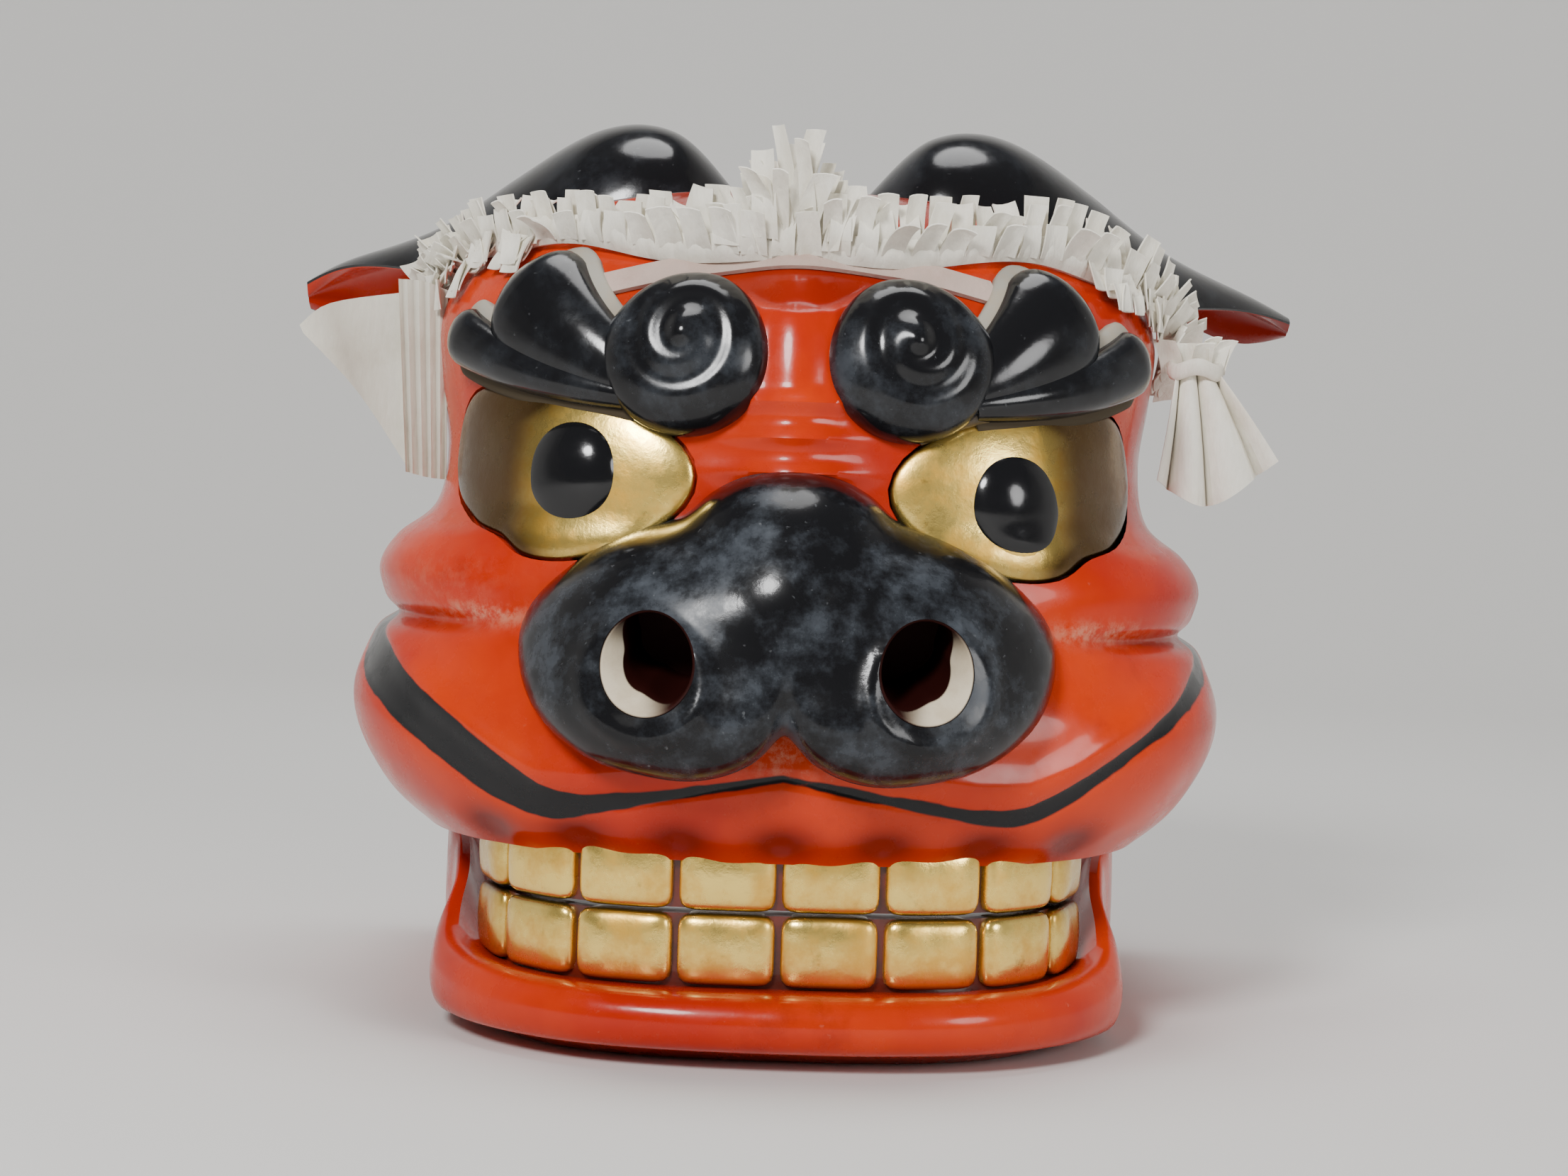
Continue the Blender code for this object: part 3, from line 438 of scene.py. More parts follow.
def bare_wood(name):
    """Make turned wood with grain along X."""
    made, node, feed = new_material(name)
    place = node("Mapping", {"Vector": node("TexCoord").outputs["Object"], "Scale": (0.06, 1, 1)}).outputs[0]
    grain = noise(node, 900, 4, 0.6, place, 0.3, 0.7)
    feed("Base Color", mixed(node, grain, WOOD_PALE, WOOD_DARK))
    feed("Roughness", 0.55)
    feed("Normal", bump(node, grain, 0.3, 0.0003))
    return made


LACQUER_MARKS_AND_SHADE = red_lacquer("red_lacquer_marks_and_shade", marks_and_shade=True)
LACQUER = red_lacquer("red_lacquer")
BLACK_GLOSS = black_lacquer("black_lacquer", 0.25)
BLACK_CLEAN = black_lacquer("black_lacquer_clean", 0.0)
BLACK_WORN = black_lacquer("black_lacquer_worn", 0.60)
# the nose's black: heavy grey-blue patches, partly dust and partly a painted sheen
BLACK_DUST_AND_SHEEN = black_lacquer("black_lacquer_dust_and_sheen", 0.95)
GOLD = gold_leaf("gold_leaf")
GOLD_SHADED = gold_leaf("gold_leaf_shaded", shaded=True)
PAPER = paper("white_paper", (0.90, 0.87, 0.77, 1), (0.70, 0.62, 0.48, 1))
PAPER_GREY = paper("pleated_paper", (0.74, 0.71, 0.61, 1), (0.52, 0.47, 0.37, 1))
TAPE = paper("forehead_tape", (0.56, 0.42, 0.36, 1), (0.38, 0.22, 0.18, 1))
# brow edge: pale partly paint and partly a painted highlight of the lobes' lit sides; dark is painted shade
BROW_EDGE = shaded_finish("brow_edge", (0.36, 0.34, 0.29, 1), (0.060, 0.046, 0.028, 1))
# eyelid: dull brown darkened with painted shade from the brow
LID = plain_finish("eyelid", (0.15, 0.105, 0.055, 1), (0.055, 0.038, 0.020, 1), 70, 0.42, 0.2)
# nostril wall: pale bevel, and near-black dark red with painted shade for the bore
NOSTRIL_WALL = shaded_finish("nostril_wall", (0.66, 0.57, 0.42, 1), (0.022, 0.003, 0.002, 1))
GUM = plain_finish("gum_lacquer", (0.13, 0.012, 0.004, 1), (0.06, 0.010, 0.004, 1), 60, 0.28, 0.4)
ROD_WOOD = bare_wood("bare_wood")


# Mesh building blocks

def make_piece(name, points, faces, finish, body, slot_name, replaces=(), smooth=60, values=None, weld=1e-6):
    """Link a mesh as a piece that rides on a body, with its finish and the values painted on its points.

    Edges that turn by more than smooth, in degrees, stay sharp. Points nearer than weld are joined.
    """
    mesh = bpy.data.meshes.new(name)
    mesh.from_pydata(np.asarray(points, float).tolist(), [], faces)
    for key, value in (values or {}).items():
        layer = mesh.attributes.new(key, "FLOAT", "POINT")
        layer.data.foreach_set("value", np.asarray(value, np.float32).ravel())
    work = bmesh.new()
    work.from_mesh(mesh)
    if weld:
        bmesh.ops.remove_doubles(work, verts=work.verts, dist=weld)
    bmesh.ops.recalc_face_normals(work, faces=work.faces)
    work.to_mesh(mesh)
    work.free()
    mesh.materials.append(finish)
    mesh.shade_smooth()
    mesh.set_sharp_from_angle(angle=math.radians(smooth))
    item = bpy.data.objects.new(name, mesh)
    bpy.context.scene.collection.objects.link(item)
    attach(item, body)
    if replaces:
        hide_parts(*replaces)
    return item


def grid_faces(rows, columns, start=0, closed=False, flip=False):
    """Return the quads of a grid of points, row by row; closed joins the last column to the first."""
    faces = []
    for r in range(rows - 1):
        for c in range(columns if closed else columns - 1):
            d = (c + 1) % columns
            quad = (start + r * columns + c, start + r * columns + d,
                    start + (r + 1) * columns + d, start + (r + 1) * columns + c)
            faces.append(quad[::-1] if flip else quad)
    return faces


def wrapped_faces(rows, columns):
    """Return the quads of a grid of points whose last row joins its first."""
    last = (rows - 1) * columns
    return grid_faces(rows, columns) + [(last + c, last + c + 1, c + 1, c) for c in range(columns - 1)]


def slab(front, back):
    """Return points and faces of a closed sheet between two equal grids of points."""
    rows, columns = front.shape[:2]
    count = rows * columns
    points = np.concatenate([front.reshape(-1, 3), back.reshape(-1, 3)])
    faces = grid_faces(rows, columns) + grid_faces(rows, columns, count, flip=True)
    rim = ([(0, c) for c in range(columns)] + [(r, columns - 1) for r in range(1, rows)]
           + [(rows - 1, c) for c in range(columns - 2, -1, -1)] + [(r, 0) for r in range(rows - 2, 0, -1)])
    ids = [r * columns + c for r, c in rim]
    for i, here in enumerate(ids):
        there = ids[(i + 1) % len(ids)]
        faces.append((there, here, here + count, there + count))
    return points, faces


def swept(sections):
    """Return points and faces of closed sections joined into one capped solid."""
    count, around = sections.shape[:2]
    faces = grid_faces(count, around, closed=True)
    faces += [tuple(range(around))[::-1], tuple((count - 1) * around + i for i in range(around))]
    return sections.reshape(-1, 3), faces


def merged(parts):
    """Join lists of (points, faces) into one."""
    points, faces, start = [], [], 0
    for part_points, part_faces in parts:
        points.append(np.asarray(part_points, float).reshape(-1, 3))
        faces += [tuple(start + i for i in face) for face in part_faces]
        start += len(points[-1])
    return np.concatenate(points), faces


def pad(place, outline, lift, sides=72, rings=16, sink=0.004, power=2.4, crowd=0.75):
    """Return a carved pad: outline gives its edge by angle, and lift its height at (across, up, share)."""
    angles = circle(sides)
    across, up = outline(angles)
    shares = np.concatenate([[0.0], np.sin(np.linspace(0, 1, rings + 1)[1:] * math.pi / 2) ** crowd])
    points = [place(np.zeros(1), np.zeros(1), lift(np.zeros(1), np.zeros(1), np.zeros(1)))]
    for share in shares[1:]:
        dome = (1 - min(share, 1.0) ** power) ** (1 / power)
        a, b = across * share, up * share
        points.append(place(a, b, lift(a, b, np.full(sides, share)) * dome))
    back_shares = (1.0, 0.75, 0.5, 0.25)
    for share in back_shares:
        points.append(place(across * share, up * share, np.full(sides, -sink)))
    points.append(place(np.zeros(1), np.zeros(1), np.full(1, -sink)))
    points = np.concatenate(points)
    faces = [(0, 1 + i, 1 + (i + 1) % sides) for i in range(sides)]
    loops = rings + len(back_shares)
    faces += grid_faces(loops, sides, 1, closed=True, flip=True)
    last, back = 1 + (loops - 1) * sides, len(points) - 1
    faces += [(last + i, back, last + (i + 1) % sides) for i in range(sides)]
    return points, faces


def oval(half_across, half_up, power=2.0):
    """Return an outline function for a rounded oval, or a rounded box at a higher power."""
    def outline(angles):
        c, s = np.cos(angles), np.sin(angles)
        radius = (np.abs(c / half_across) ** power + np.abs(s / half_up) ** power) ** (-1 / power)
        return radius * c, radius * s
    return outline


def lobed(radii, flip=False):
    """Return an outline function through radii that are spaced evenly around the middle."""
    def outline(angles):
        turned = (math.pi - angles) % (2 * math.pi) if flip else angles
        wrapped = list(radii[-1:]) + list(radii) + list(radii[:2])
        share = (turned / (2 * math.pi) * len(radii) + 1) / (len(wrapped) - 1)
        radius = smooth_rows([(r,) for r in wrapped], share)[..., 0]
        return radius * np.cos(angles), radius * np.sin(angles)
    return outline


def on_face(turn, height, detail=0):
    """Return a placing function around a point of the face, in metres along its surface."""
    def place(a, b, lift):
        return head_point(turn + a / MEAN_RADIUS, height + b / HEAD_HEIGHT, lift, detail)
    return place


CUT_SMOOTH = 38


def cut(item, shapes):
    """Cut shapes from a piece and keep the result as its mesh."""
    for shape in shapes:
        mesh = bpy.data.meshes.new("cutter")
        mesh.from_pydata(np.asarray(shape[0]).tolist(), [], shape[1])
        work = bmesh.new()
        work.from_mesh(mesh)
        bmesh.ops.recalc_face_normals(work, faces=work.faces)
        work.to_mesh(mesh)
        work.free()
        cutter = bpy.data.objects.new("cutter", mesh)
        bpy.context.scene.collection.objects.link(cutter)
        boolean = item.modifiers.new("cut", "BOOLEAN")
        boolean.operation = "DIFFERENCE"
        boolean.solver = "EXACT"
        boolean.object = cutter
        bpy.context.view_layer.update()
        result = bpy.data.meshes.new_from_object(item.evaluated_get(bpy.context.evaluated_depsgraph_get()))
        item.modifiers.clear()
        old = item.data
        item.data = result
        bpy.data.meshes.remove(old)
        bpy.data.objects.remove(cutter)
        item.data.set_sharp_from_angle(angle=math.radians(CUT_SMOOTH))
    return item


def bar(start, end, radius, sides=48):
    """Return a capped round bar between two points."""
    start, end = Vector(start), Vector(end)
    along = (end - start).normalized()
    side = along.cross(Vector((0, 0, 1)) if abs(along.z) < 0.9 else Vector((1, 0, 0))).normalized()
    other = along.cross(side)
    rings = [[tuple(p + radius * (math.cos(a) * side + math.sin(a) * other))
              for a in (2 * math.pi * i / sides for i in range(sides))] for p in (start, end)]
    return swept(np.array(rings))


def nostril_ends(side, past=NOSTRIL_RADIUS):
    """Return the front and back ends of one nostril's blind bore; the front runs past the nose."""
    mouth = Vector((side * NOSTRIL_ACROSS, -FACE_DEPTH - NOSE_DEPTH,
                    MOUTH_EDGE_HEIGHT + NOSTRIL_UP * HEAD_HEIGHT))
    along = Vector((-side * 0.15, 1.0, 0.19)).normalized()
    return mouth - along * past, mouth + along * (NOSTRIL_DEPTH + NOSTRIL_RADIUS)


# Head shell

def make_head():
    """Make the red shell with its carved outer side, and cut the eye sockets, nostrils and rod holes."""
    columns, rows, skip = 360, 220, 10
    spread_turns = np.linspace(-1, 1, columns + 1)
    turns = (math.pi / 2 + BACK_TURN) * (0.7 * spread_turns + 0.3 * spread_turns**3)
    rises = np.linspace(0, 1, rows + 1)
    turn_grid, rise_grid = np.meshgrid(turns, rises)
    outer = head_surface(turn_grid, rise_grid)
    inner = head_surface(*np.meshgrid(turns[::skip], rises[::skip]), wall=HEAD_WALL, detail=0)
    inner[:, [0, -1], 1] = HEAD_BACK
    points = np.concatenate([outer.reshape(-1, 3), inner.reshape(-1, 3)])
    start, in_columns, in_rows = (rows + 1) * (columns + 1), columns // skip, rows // skip
    faces = grid_faces(rows + 1, columns + 1)
    faces += grid_faces(in_rows + 1, in_columns + 1, start, flip=True)

    def out_at(r, c):
        return r * (columns + 1) + c

    def in_at(r, c):
        return start + r * (in_columns + 1) + c
    for c in range(in_columns):
        faces.append([in_at(0, c), in_at(0, c + 1)] + [out_at(0, c * skip + i) for i in range(skip, -1, -1)])
    for r in range(in_rows):
        faces.append([in_at(r + 1, 0), in_at(r, 0)] + [out_at(r * skip + i, 0) for i in range(skip + 1)])
        faces.append([in_at(r, in_columns), in_at(r + 1, in_columns)]
                     + [out_at(r * skip + i, columns) for i in range(skip, -1, -1)])
    heights = smooth_rows(HEAD_ROWS, rise_grid)[..., 0] / 100
    side = np.abs(turn_grid)
    paint = 0.5 + mouth_distance(turn_grid, heights) / 0.012
    # shade values: darker red over the gum roots, painted shade in the grooves between them and in the cheek
    # crease, and a darker forehead facet
    gums = hill((heights - 0.030) / 0.040) * (1 - ramp(side, 0.75, 0.95))
    tooth = np.cos(side * TOOTH_TURN_RADIUS / TOOTH_PITCH * 2 * math.pi)
    facet = ramp(0.30 - side - (0.84 - heights) * 4.6, -0.03, 0.02)
    shade = np.clip(0.82 * gums + 0.38 * gums * tooth + 0.55 * facet * ramp(heights, 0.78, 0.80), 0, 1)
    shade = np.maximum(shade, 0.55 * hill((heights - 0.318) / 0.012) * ramp(side, 0.7, 1.0))
    # pink patches: wear in the cheek creases, a faint patch on the left cheek, and a painted highlight on the
    # lip under the nose
    scuff = 0.9 * hill((heights - 0.335) / 0.020) * hill((side - 0.80) / 0.22)
    scuff = np.maximum(scuff, 1.0 * hill((heights - 0.165) / 0.045) * hill(turn_grid / 0.11))
    scuff = np.maximum(scuff, 0.22 * hill(np.hypot((turn_grid + 0.95) / 0.25, (heights - 0.38) / 0.05)))
    blank = np.zeros(len(points) - start)
    values = {key: np.concatenate([np.clip(v, 0, 1).ravel(), blank])
              for key, v in (("paint", paint), ("shade", shade), ("scuff", scuff))}
    head = make_piece("head_shell", points, faces, LACQUER_MARKS_AND_SHADE, "head", "red_lacquer", ("head",), 40,
                      values)
    shapes = []
    for side in SIDE_WORD:
        shapes.append(pad(on_face(side * EYE_TURN, EYE_UP[side]), eye_edge(side, SOCKET_MARGIN),
                          lambda a, b, s: np.full(np.shape(a), SOCKET_HEIGHT), 60, 3, EYE_SINK, 8))
        shapes.append(bar(*nostril_ends(side), NOSTRIL_RADIUS + 0.0003))
        shapes.append(bar((side * HOLE_FROM, HINGE_Y, HINGE_HEIGHT), (side * HOLE_TO, HINGE_Y, HINGE_HEIGHT),
                          ROD_RADIUS + ROD_CLEARANCE, 32))
    return cut(head, shapes)


# Eyes

# The eye's outline by angle, as shares of its reach; the pupils' places are a turn and a height share
EYE_TURN = 0.69
EYE_UP = {-1: 0.545, 1: 0.535}
EYE_SINK = 0.0028
EYE_REACH = 0.0445
EYE_RADII = (0.99, 0.90, 0.63, 0.55, 0.56, 0.74, 1.00, 0.80, 0.63, 0.54, 0.48, 0.65)
EYE_RISE = 0.0046
PUPIL = {-1: (-0.601, 0.543), 1: (0.606, 0.518)}
PUPIL_HALF_WIDTH = 0.0153
PUPIL_HALF_HEIGHT = 0.0162
PUPIL_RISE = 0.0088
IRIS_MARGIN = 0.0022
IRIS_RISE = 0.0060
IRIS_SHIFT = 0.0006
LID_ANGLES = (46, 160)
LID_RADIUS = 0.0036


def eye_edge(side, margin=0.0):
    """Return the outline of the eye on one side, a margin larger all round."""
    return lobed([EYE_REACH * share + margin for share in EYE_RADII], flip=side < 0)


def make_eye(side):
    """Make one gilt eyeball with painted shade on its outer half, under the brow and along its foot, its domed
    pupil and the gold ring behind it.
    """
    word = SIDE_WORD[side]
    place = on_face(side * EYE_TURN, EYE_UP[side])

    def bulge(a, b, share):
        return EYE_RISE + 0.0022 * hill(np.hypot(a, b) / 0.02)
    points, faces = pad(place, eye_edge(side), bulge, 96, 26, EYE_SINK + 0.001, 2.0)
    turn = np.arctan2(points[:, 0], -points[:, 1]) * side
    up = (points[:, 2] - MOUTH_EDGE_HEIGHT) / HEAD_HEIGHT
    # painted shade: darker on the outer half, under the brow and along the bottom
    shade = ramp(turn, PUPIL[side][0] * side - 0.04, PUPIL[side][0] * side + 0.18)
    shade = np.clip(shade + 0.55 * ramp(up, 0.61, 0.66) + 0.5 * ramp(0.47 - up, 0, 0.05), 0, 1)
    make_piece(f"{word}_eye", points, faces, GOLD_SHADED, "head", "", values={"shade": shade})
    pupil_place = on_face(*PUPIL[side])
    # the ring keeps plain gold without the eye's painted shade, so it stands out on the shaded outer half
    domes = (("iris_ring", IRIS_MARGIN, IRIS_RISE, GOLD, "", side * IRIS_SHIFT),
             ("pupil", 0.0, PUPIL_RISE, BLACK_CLEAN, "black_lacquer", 0.0))
    for label, margin, rise, finish, slot_name, shift in domes:
        def shifted(a, b, lift, shift=shift):
            return pupil_place(a + shift, b, lift)
        shape = pad(shifted, oval(PUPIL_HALF_WIDTH + margin, PUPIL_HALF_HEIGHT + margin, 2.1),
                    lambda a, b, s, rise=rise: np.full(np.shape(a), rise), 64, 14, 0.001, 2.0)
        make_piece(f"{word}_{label}", *shape, finish, "head", slot_name)


def make_lid(side):
    """Make the thin shaded strip along the top of the eye, under the brow."""
    word = SIDE_WORD[side]
    angles = np.radians(np.linspace(*LID_ANGLES, 60))
    across, up = eye_edge(1, 0.0024)(angles)
    taper = np.sin(np.linspace(0.08, math.pi - 0.08, 60)) ** 0.5
    sections = []
    for a, b, t in zip(across, up, taper):
        ring = []
        for angle in circle(12):
            grow = LID_RADIUS * t * math.cos(angle)
            ring.append(on_face(side * EYE_TURN, EYE_UP[side])(
                side * a * (1 + grow / 0.05), b + grow, 0.0016 + LID_RADIUS * t * math.sin(angle)))
        sections.append(ring)
    make_piece(f"{word}_eyelid", *swept(np.array(sections)), LID, "head", "", (), 70)


# Brows

# Places are a turn and a height share. A scroll has a place, and a lobe a near end, a far end and a radius
SCROLL = {-1: (-0.306, 0.722), 1: (0.316, 0.722)}
SCROLL_REACH = 0.026
SCROLL_RADII = (0.96, 0.90, 0.83, 0.79, 0.82, 0.88, 0.94, 0.96, 0.94, 0.93, 0.93, 0.94)
LOBES = {
    -1: (((-0.400, 0.665), (-0.860, 0.822), 0.0160), ((-0.420, 0.652), (-1.050, 0.752), 0.0082)),
    1: (((0.450, 0.668), (0.835, 0.822), 0.0158), ((0.480, 0.656), (1.070, 0.745), 0.0095)),
}
SCROLL_RISE = 0.0132
SPIRAL_PITCH = 0.0100
SPIRAL_DEPTH = 0.0011
LOBE_RISE = 0.0125
EDGE_RISE = 0.0052
RING_POINTS = 23


def lobe_shape(near, far, radius, high, power=0.75, wide=0.0):
    """Return one flared lobe of a brow, from its thin tail to its rounded end."""
    sections = []
    tail, end = np.linspace(0, 1, 26)[:-1], np.linspace(0, math.pi / 2, 12)
    span = np.array([(far[0] - near[0]) * MEAN_RADIUS, (far[1] - near[1]) * HEAD_HEIGHT])
    reach = np.linalg.norm(span)
    round_start = 1 - 0.9 * radius / reach
    shares = np.concatenate([round_start * tail, round_start + (1 - round_start) * np.sin(end)])
    swells = np.concatenate([0.50 + 0.50 * tail ** 0.9, np.maximum(np.cos(end), 0.03)])
    along = span / reach
    for share, swell in zip(shares, swells):
        half = radius * swell + wide * min(1, swell * 3)
        turn = near[0] + (far[0] - near[0]) * share
        height = near[1] + (far[1] - near[1]) * share - 0.014 * math.sin(share * math.pi)
        rise = high * (0.55 + 0.45 * share) * min(1, (1.02 - share) * 6) ** 0.5
        ring = []
        for angle in np.linspace(0, math.pi, RING_POINTS - 2):
            offset = half * math.cos(angle)
            ring.append((offset, rise * math.sin(angle) ** power))
        ring += [(-0.85 * half, -0.004), (0.85 * half, -0.004)]
        sections.append([head_point(turn - along[1] * offset / MEAN_RADIUS,
                                    height + along[0] * offset / HEAD_HEIGHT, lift) for offset, lift in ring])
    return swept(np.array(sections))


def make_brow(side):
    """Make one brow: the scroll with its spiral ridge, two flared lobes and their pale edge."""
    word = SIDE_WORD[side]

    def spiral(a, b, share):
        radius, angle = np.hypot(a, b - 0.002), np.arctan2(b - 0.002, a * side)
        wave = np.cos((radius / SPIRAL_PITCH - angle / (2 * math.pi)) * 2 * math.pi)
        groove = SPIRAL_DEPTH * (0.5 * wave - 0.5)
        inside = 1 - ramp(radius, 0.0110, 0.0190)
        centre = 0.0022 * hill(radius / 0.0060)
        return SCROLL_RISE + groove * inside * ramp(radius, 0.0005, 0.0060) + centre
    outline = lobed([SCROLL_REACH * share for share in SCROLL_RADII], flip=side < 0)
    scroll = pad(on_face(*SCROLL[side]), outline, spiral, 120, 44, 0.004, 2.6, 1.0)
    make_piece(f"{word}_brow_scroll", *scroll, BLACK_WORN, "head", "black_lacquer")
    for label, (near, far, radius) in zip(("upper", "lower"), LOBES[side]):
        shape = lobe_shape(near, far, radius, LOBE_RISE)
        make_piece(f"{word}_brow_{label}_lobe", *shape, BLACK_GLOSS, "head", "black_lacquer")
    edges = [lobe_shape(near, far, radius, EDGE_RISE, 0.35, 0.0030) for near, far, radius in LOBES[side]]
    # painted shade on the lower side of each pale edge
    below = [points.reshape(-1, RING_POINTS, 3) for points, faces in edges]
    below = [ring[..., 2].mean(axis=1, keepdims=True) - ring[..., 2] for ring in below]
    shade = np.concatenate([ramp(drop, -0.001, 0.003).ravel() for drop in below])
    make_piece(f"{word}_brow_edge", *merged(edges), BROW_EDGE, "head", "black_lacquer", (), 60,
               {"shade": shade}, weld=0)


# Nose

# Distance of the nose's edge from its middle, in metres, by angle from the viewer's right
NOSE_RADII = (0.0755, 0.0640, 0.0520, 0.0440, 0.0445, 0.0455, 0.0460, 0.0455, 0.0445, 0.0440, 0.0520, 0.0640,
              0.0755, 0.0755, 0.0675, 0.0560, 0.0465, 0.0368, 0.0272, 0.0368, 0.0465, 0.0560, 0.0675, 0.0755)
NOSTRIL_RIM = 0.0006
NOSTRIL_BEVEL = 0.0046


def nose_place(across, up, lift):
    """Place points of the nose, which stands straight forward from the face."""
    height = NOSE_UP + up / HEAD_HEIGHT
    foot = head_point(turn_at(across / HALF_WIDTH, height), height)
    return foot + np.array([0, -1, -0.1]) * np.asarray(lift)[..., None]


def make_nose():
    """Make the black nose with its wings, bridge and dent, and bore its two nostrils."""
    def lift(a, b, share):
        wings = 0.0035 * hill(np.hypot((np.abs(a) - 0.050) / 0.020, (b + 0.012) / 0.022))
        bridge = 0.0030 * hill(a / 0.020) * ramp(b, -0.005, 0.020)
        rims = 0.0016 * hill((np.hypot(np.abs(a) - 0.0395, b + 0.0100) - 0.0165) / 0.0035)
        dent = 0.0020 * hill(a / 0.011) * ramp(-b, 0.0, 0.022)
        return NOSE_DEPTH - 0.0025 + wings + bridge + rims - dent
    points, faces = pad(nose_place, lobed(NOSE_RADII), lift, 168, 60, 0.003, 2.7, 0.9)
    nose = make_piece("nose", points, faces, BLACK_DUST_AND_SHEEN, "head", "black_lacquer", (), 50)
    cut(nose, [bar(*nostril_ends(side), NOSTRIL_RADIUS) for side in SIDE_WORD])
    surface = BVHTree.FromPolygons(points.tolist(), faces)
    for side in SIDE_WORD:
        make_nostril(side, surface)


def make_nostril(side, surface):
    """Make the lining of one nostril: a pale bevel on its outer lower side and a dark hole behind it, dark red
    deepened with painted shade.
    """
    front, back = nostril_ends(side)
    along = (back - front).normalized()
    across = (Vector((side, 0, 0)) - along * along.x * side).normalized()
    other = along.cross(across)
    radius = NOSTRIL_RADIUS - 0.0001
    depth = (back - front).length - 0.0003
    columns, shade = [], []
    for t in circle(72):
        toward = math.cos(t) * across + math.sin(t) * other
        start = front + toward * radius
        rim = (surface.ray_cast(start, along)[0] - start).length + NOSTRIL_RIM
        pale = float(ramp(toward.x * side * 0.8 - toward.z * 0.6, 0.0, 0.75))
        narrow = radius - 0.0008 - NOSTRIL_BEVEL * pale
        # the third number is the shade: the bore behind the pale bevel is near black, painted shade
        profile = [(depth, 0.0, 1.0), (depth, radius, 1.0), (rim, radius, 1.0),
                   (rim, radius - 0.0004, 1.0 - pale),
                   (rim + 0.0005, radius - 0.0008, 1.0 - pale), (rim + 0.0046, narrow, 1.0 - pale),
                    (rim + 0.0056, narrow - 0.0001, 1.0), (depth - 0.0015, narrow - 0.0002, 1.0),
                    (depth - 0.0012, 0.0, 1.0)]
        columns.append([front + along * distance + toward * out for distance, out, dark in profile])
        shade.append([dark for distance, out, dark in profile])
    shape = np.array([[tuple(p) for p in column] for column in columns])
    faces = wrapped_faces(*shape.shape[:2])
    word = SIDE_WORD[side]
    make_piece(f"{word}_nostril_lining", shape.reshape(-1, 3), faces, NOSTRIL_WALL, "head", "red_lacquer",
               values={"shade": np.array(shade).ravel()}, weld=1e-5)


# Teeth

def arc_table(half_width, depth, back=0.0):
    """Return distances along the tooth arc, its points set back from it, and its directions."""
    turns = np.linspace(0, math.radians(88), 300)
    radius = ((np.sin(turns) / half_width) ** TEETH_POWER
              + (np.cos(turns) / depth) ** TEETH_POWER) ** (-1 / TEETH_POWER)
    points = np.stack([radius * np.sin(turns), -radius * np.cos(turns)], axis=1)
    along = np.gradient(points, axis=0)
    along /= np.linalg.norm(along, axis=1, keepdims=True)
    length = np.concatenate([[0], np.cumsum(np.linalg.norm(np.diff(points, axis=0), axis=1))])
    return length, points - back * np.stack([along[:, 1], -along[:, 0]], axis=1), along


ARC = arc_table(TEETH_HALF_WIDTH, TEETH_DEPTH)


def arc_point(distance, lift, z):
    """Return points at a signed distance along the tooth arc, lifted out of it."""
    length, points, along = ARC
    x, y, ax, ay = (np.interp(np.abs(distance), length, column)
                    for column in (points[:, 0], points[:, 1], along[:, 0], along[:, 1]))
    return np.stack([np.sign(distance) * (x + ay * lift), y - ax * lift, z + 0 * x], axis=-1)


TOOTH_RISE = 0.0042
UPPER_TOOTH_TOP = BITE_HEIGHT + 0.0198
LOWER_TOOTH_FOOT = BITE_HEIGHT - 0.0208
BITE_GAP = 0.0004


def make_teeth(name, low, high, body, seed):
    """Make one row of gilt teeth, each a soft-edged block that differs a little from the next."""
    vary = random.Random(seed).uniform
    for index in range(-TEETH_PER_SIDE, TEETH_PER_SIDE):
        centre = (index + 0.5) * TOOTH_PITCH
        half = (TOOTH_PITCH - TOOTH_GAP) / 2 * vary(0.985, 1.0)
        middle, half_up = (low + high) / 2, (high - low) / 2 * vary(0.985, 1.0)
        proud = vary(0.0, 0.0004)

        def place(a, b, lift):
            return arc_point(centre + a, lift, middle + b)

        def lift(a, b, share):
            return TOOTH_RISE + proud - 0.0004 * hill(a / half / 0.5) + 0.0003 * hill(b / half_up / 0.5)
        points, faces = pad(place, oval(half, half_up, 7), lift, 56, 12, 0.004, 3.4, 0.6)
        edge = np.abs(points[:, 2] - middle) / half_up
        # painted shade: darker at each tooth's top and bottom edge and on the teeth further back
        shade = np.clip(0.75 * ramp(edge, 0.80, 1.0) + 0.35 * ramp(-points[:, 1], 0.100, 0.06), 0, 1)
        make_piece(f"{name}_{index + TEETH_PER_SIDE + 1}", points, faces, GOLD_SHADED, body, "",
                   (), 50, {"shade": shade})


def make_gum(name, low, high, backing, body):
    """Make the dark red bar behind a row of teeth."""
    reach = TEETH_PER_SIDE * TOOTH_PITCH
    sections = []
    for distance in np.linspace(-reach, reach, 90):
        ring = [(0.0, low), (0.0, high), (-backing, high), (-backing, low)]
        sections.append([arc_point(np.array(distance), lift, z) for lift, z in ring])
    make_piece(name, *swept(np.array(sections)), GUM, body, "red_lacquer", smooth=CUT_SMOOTH)


# Lower jaw

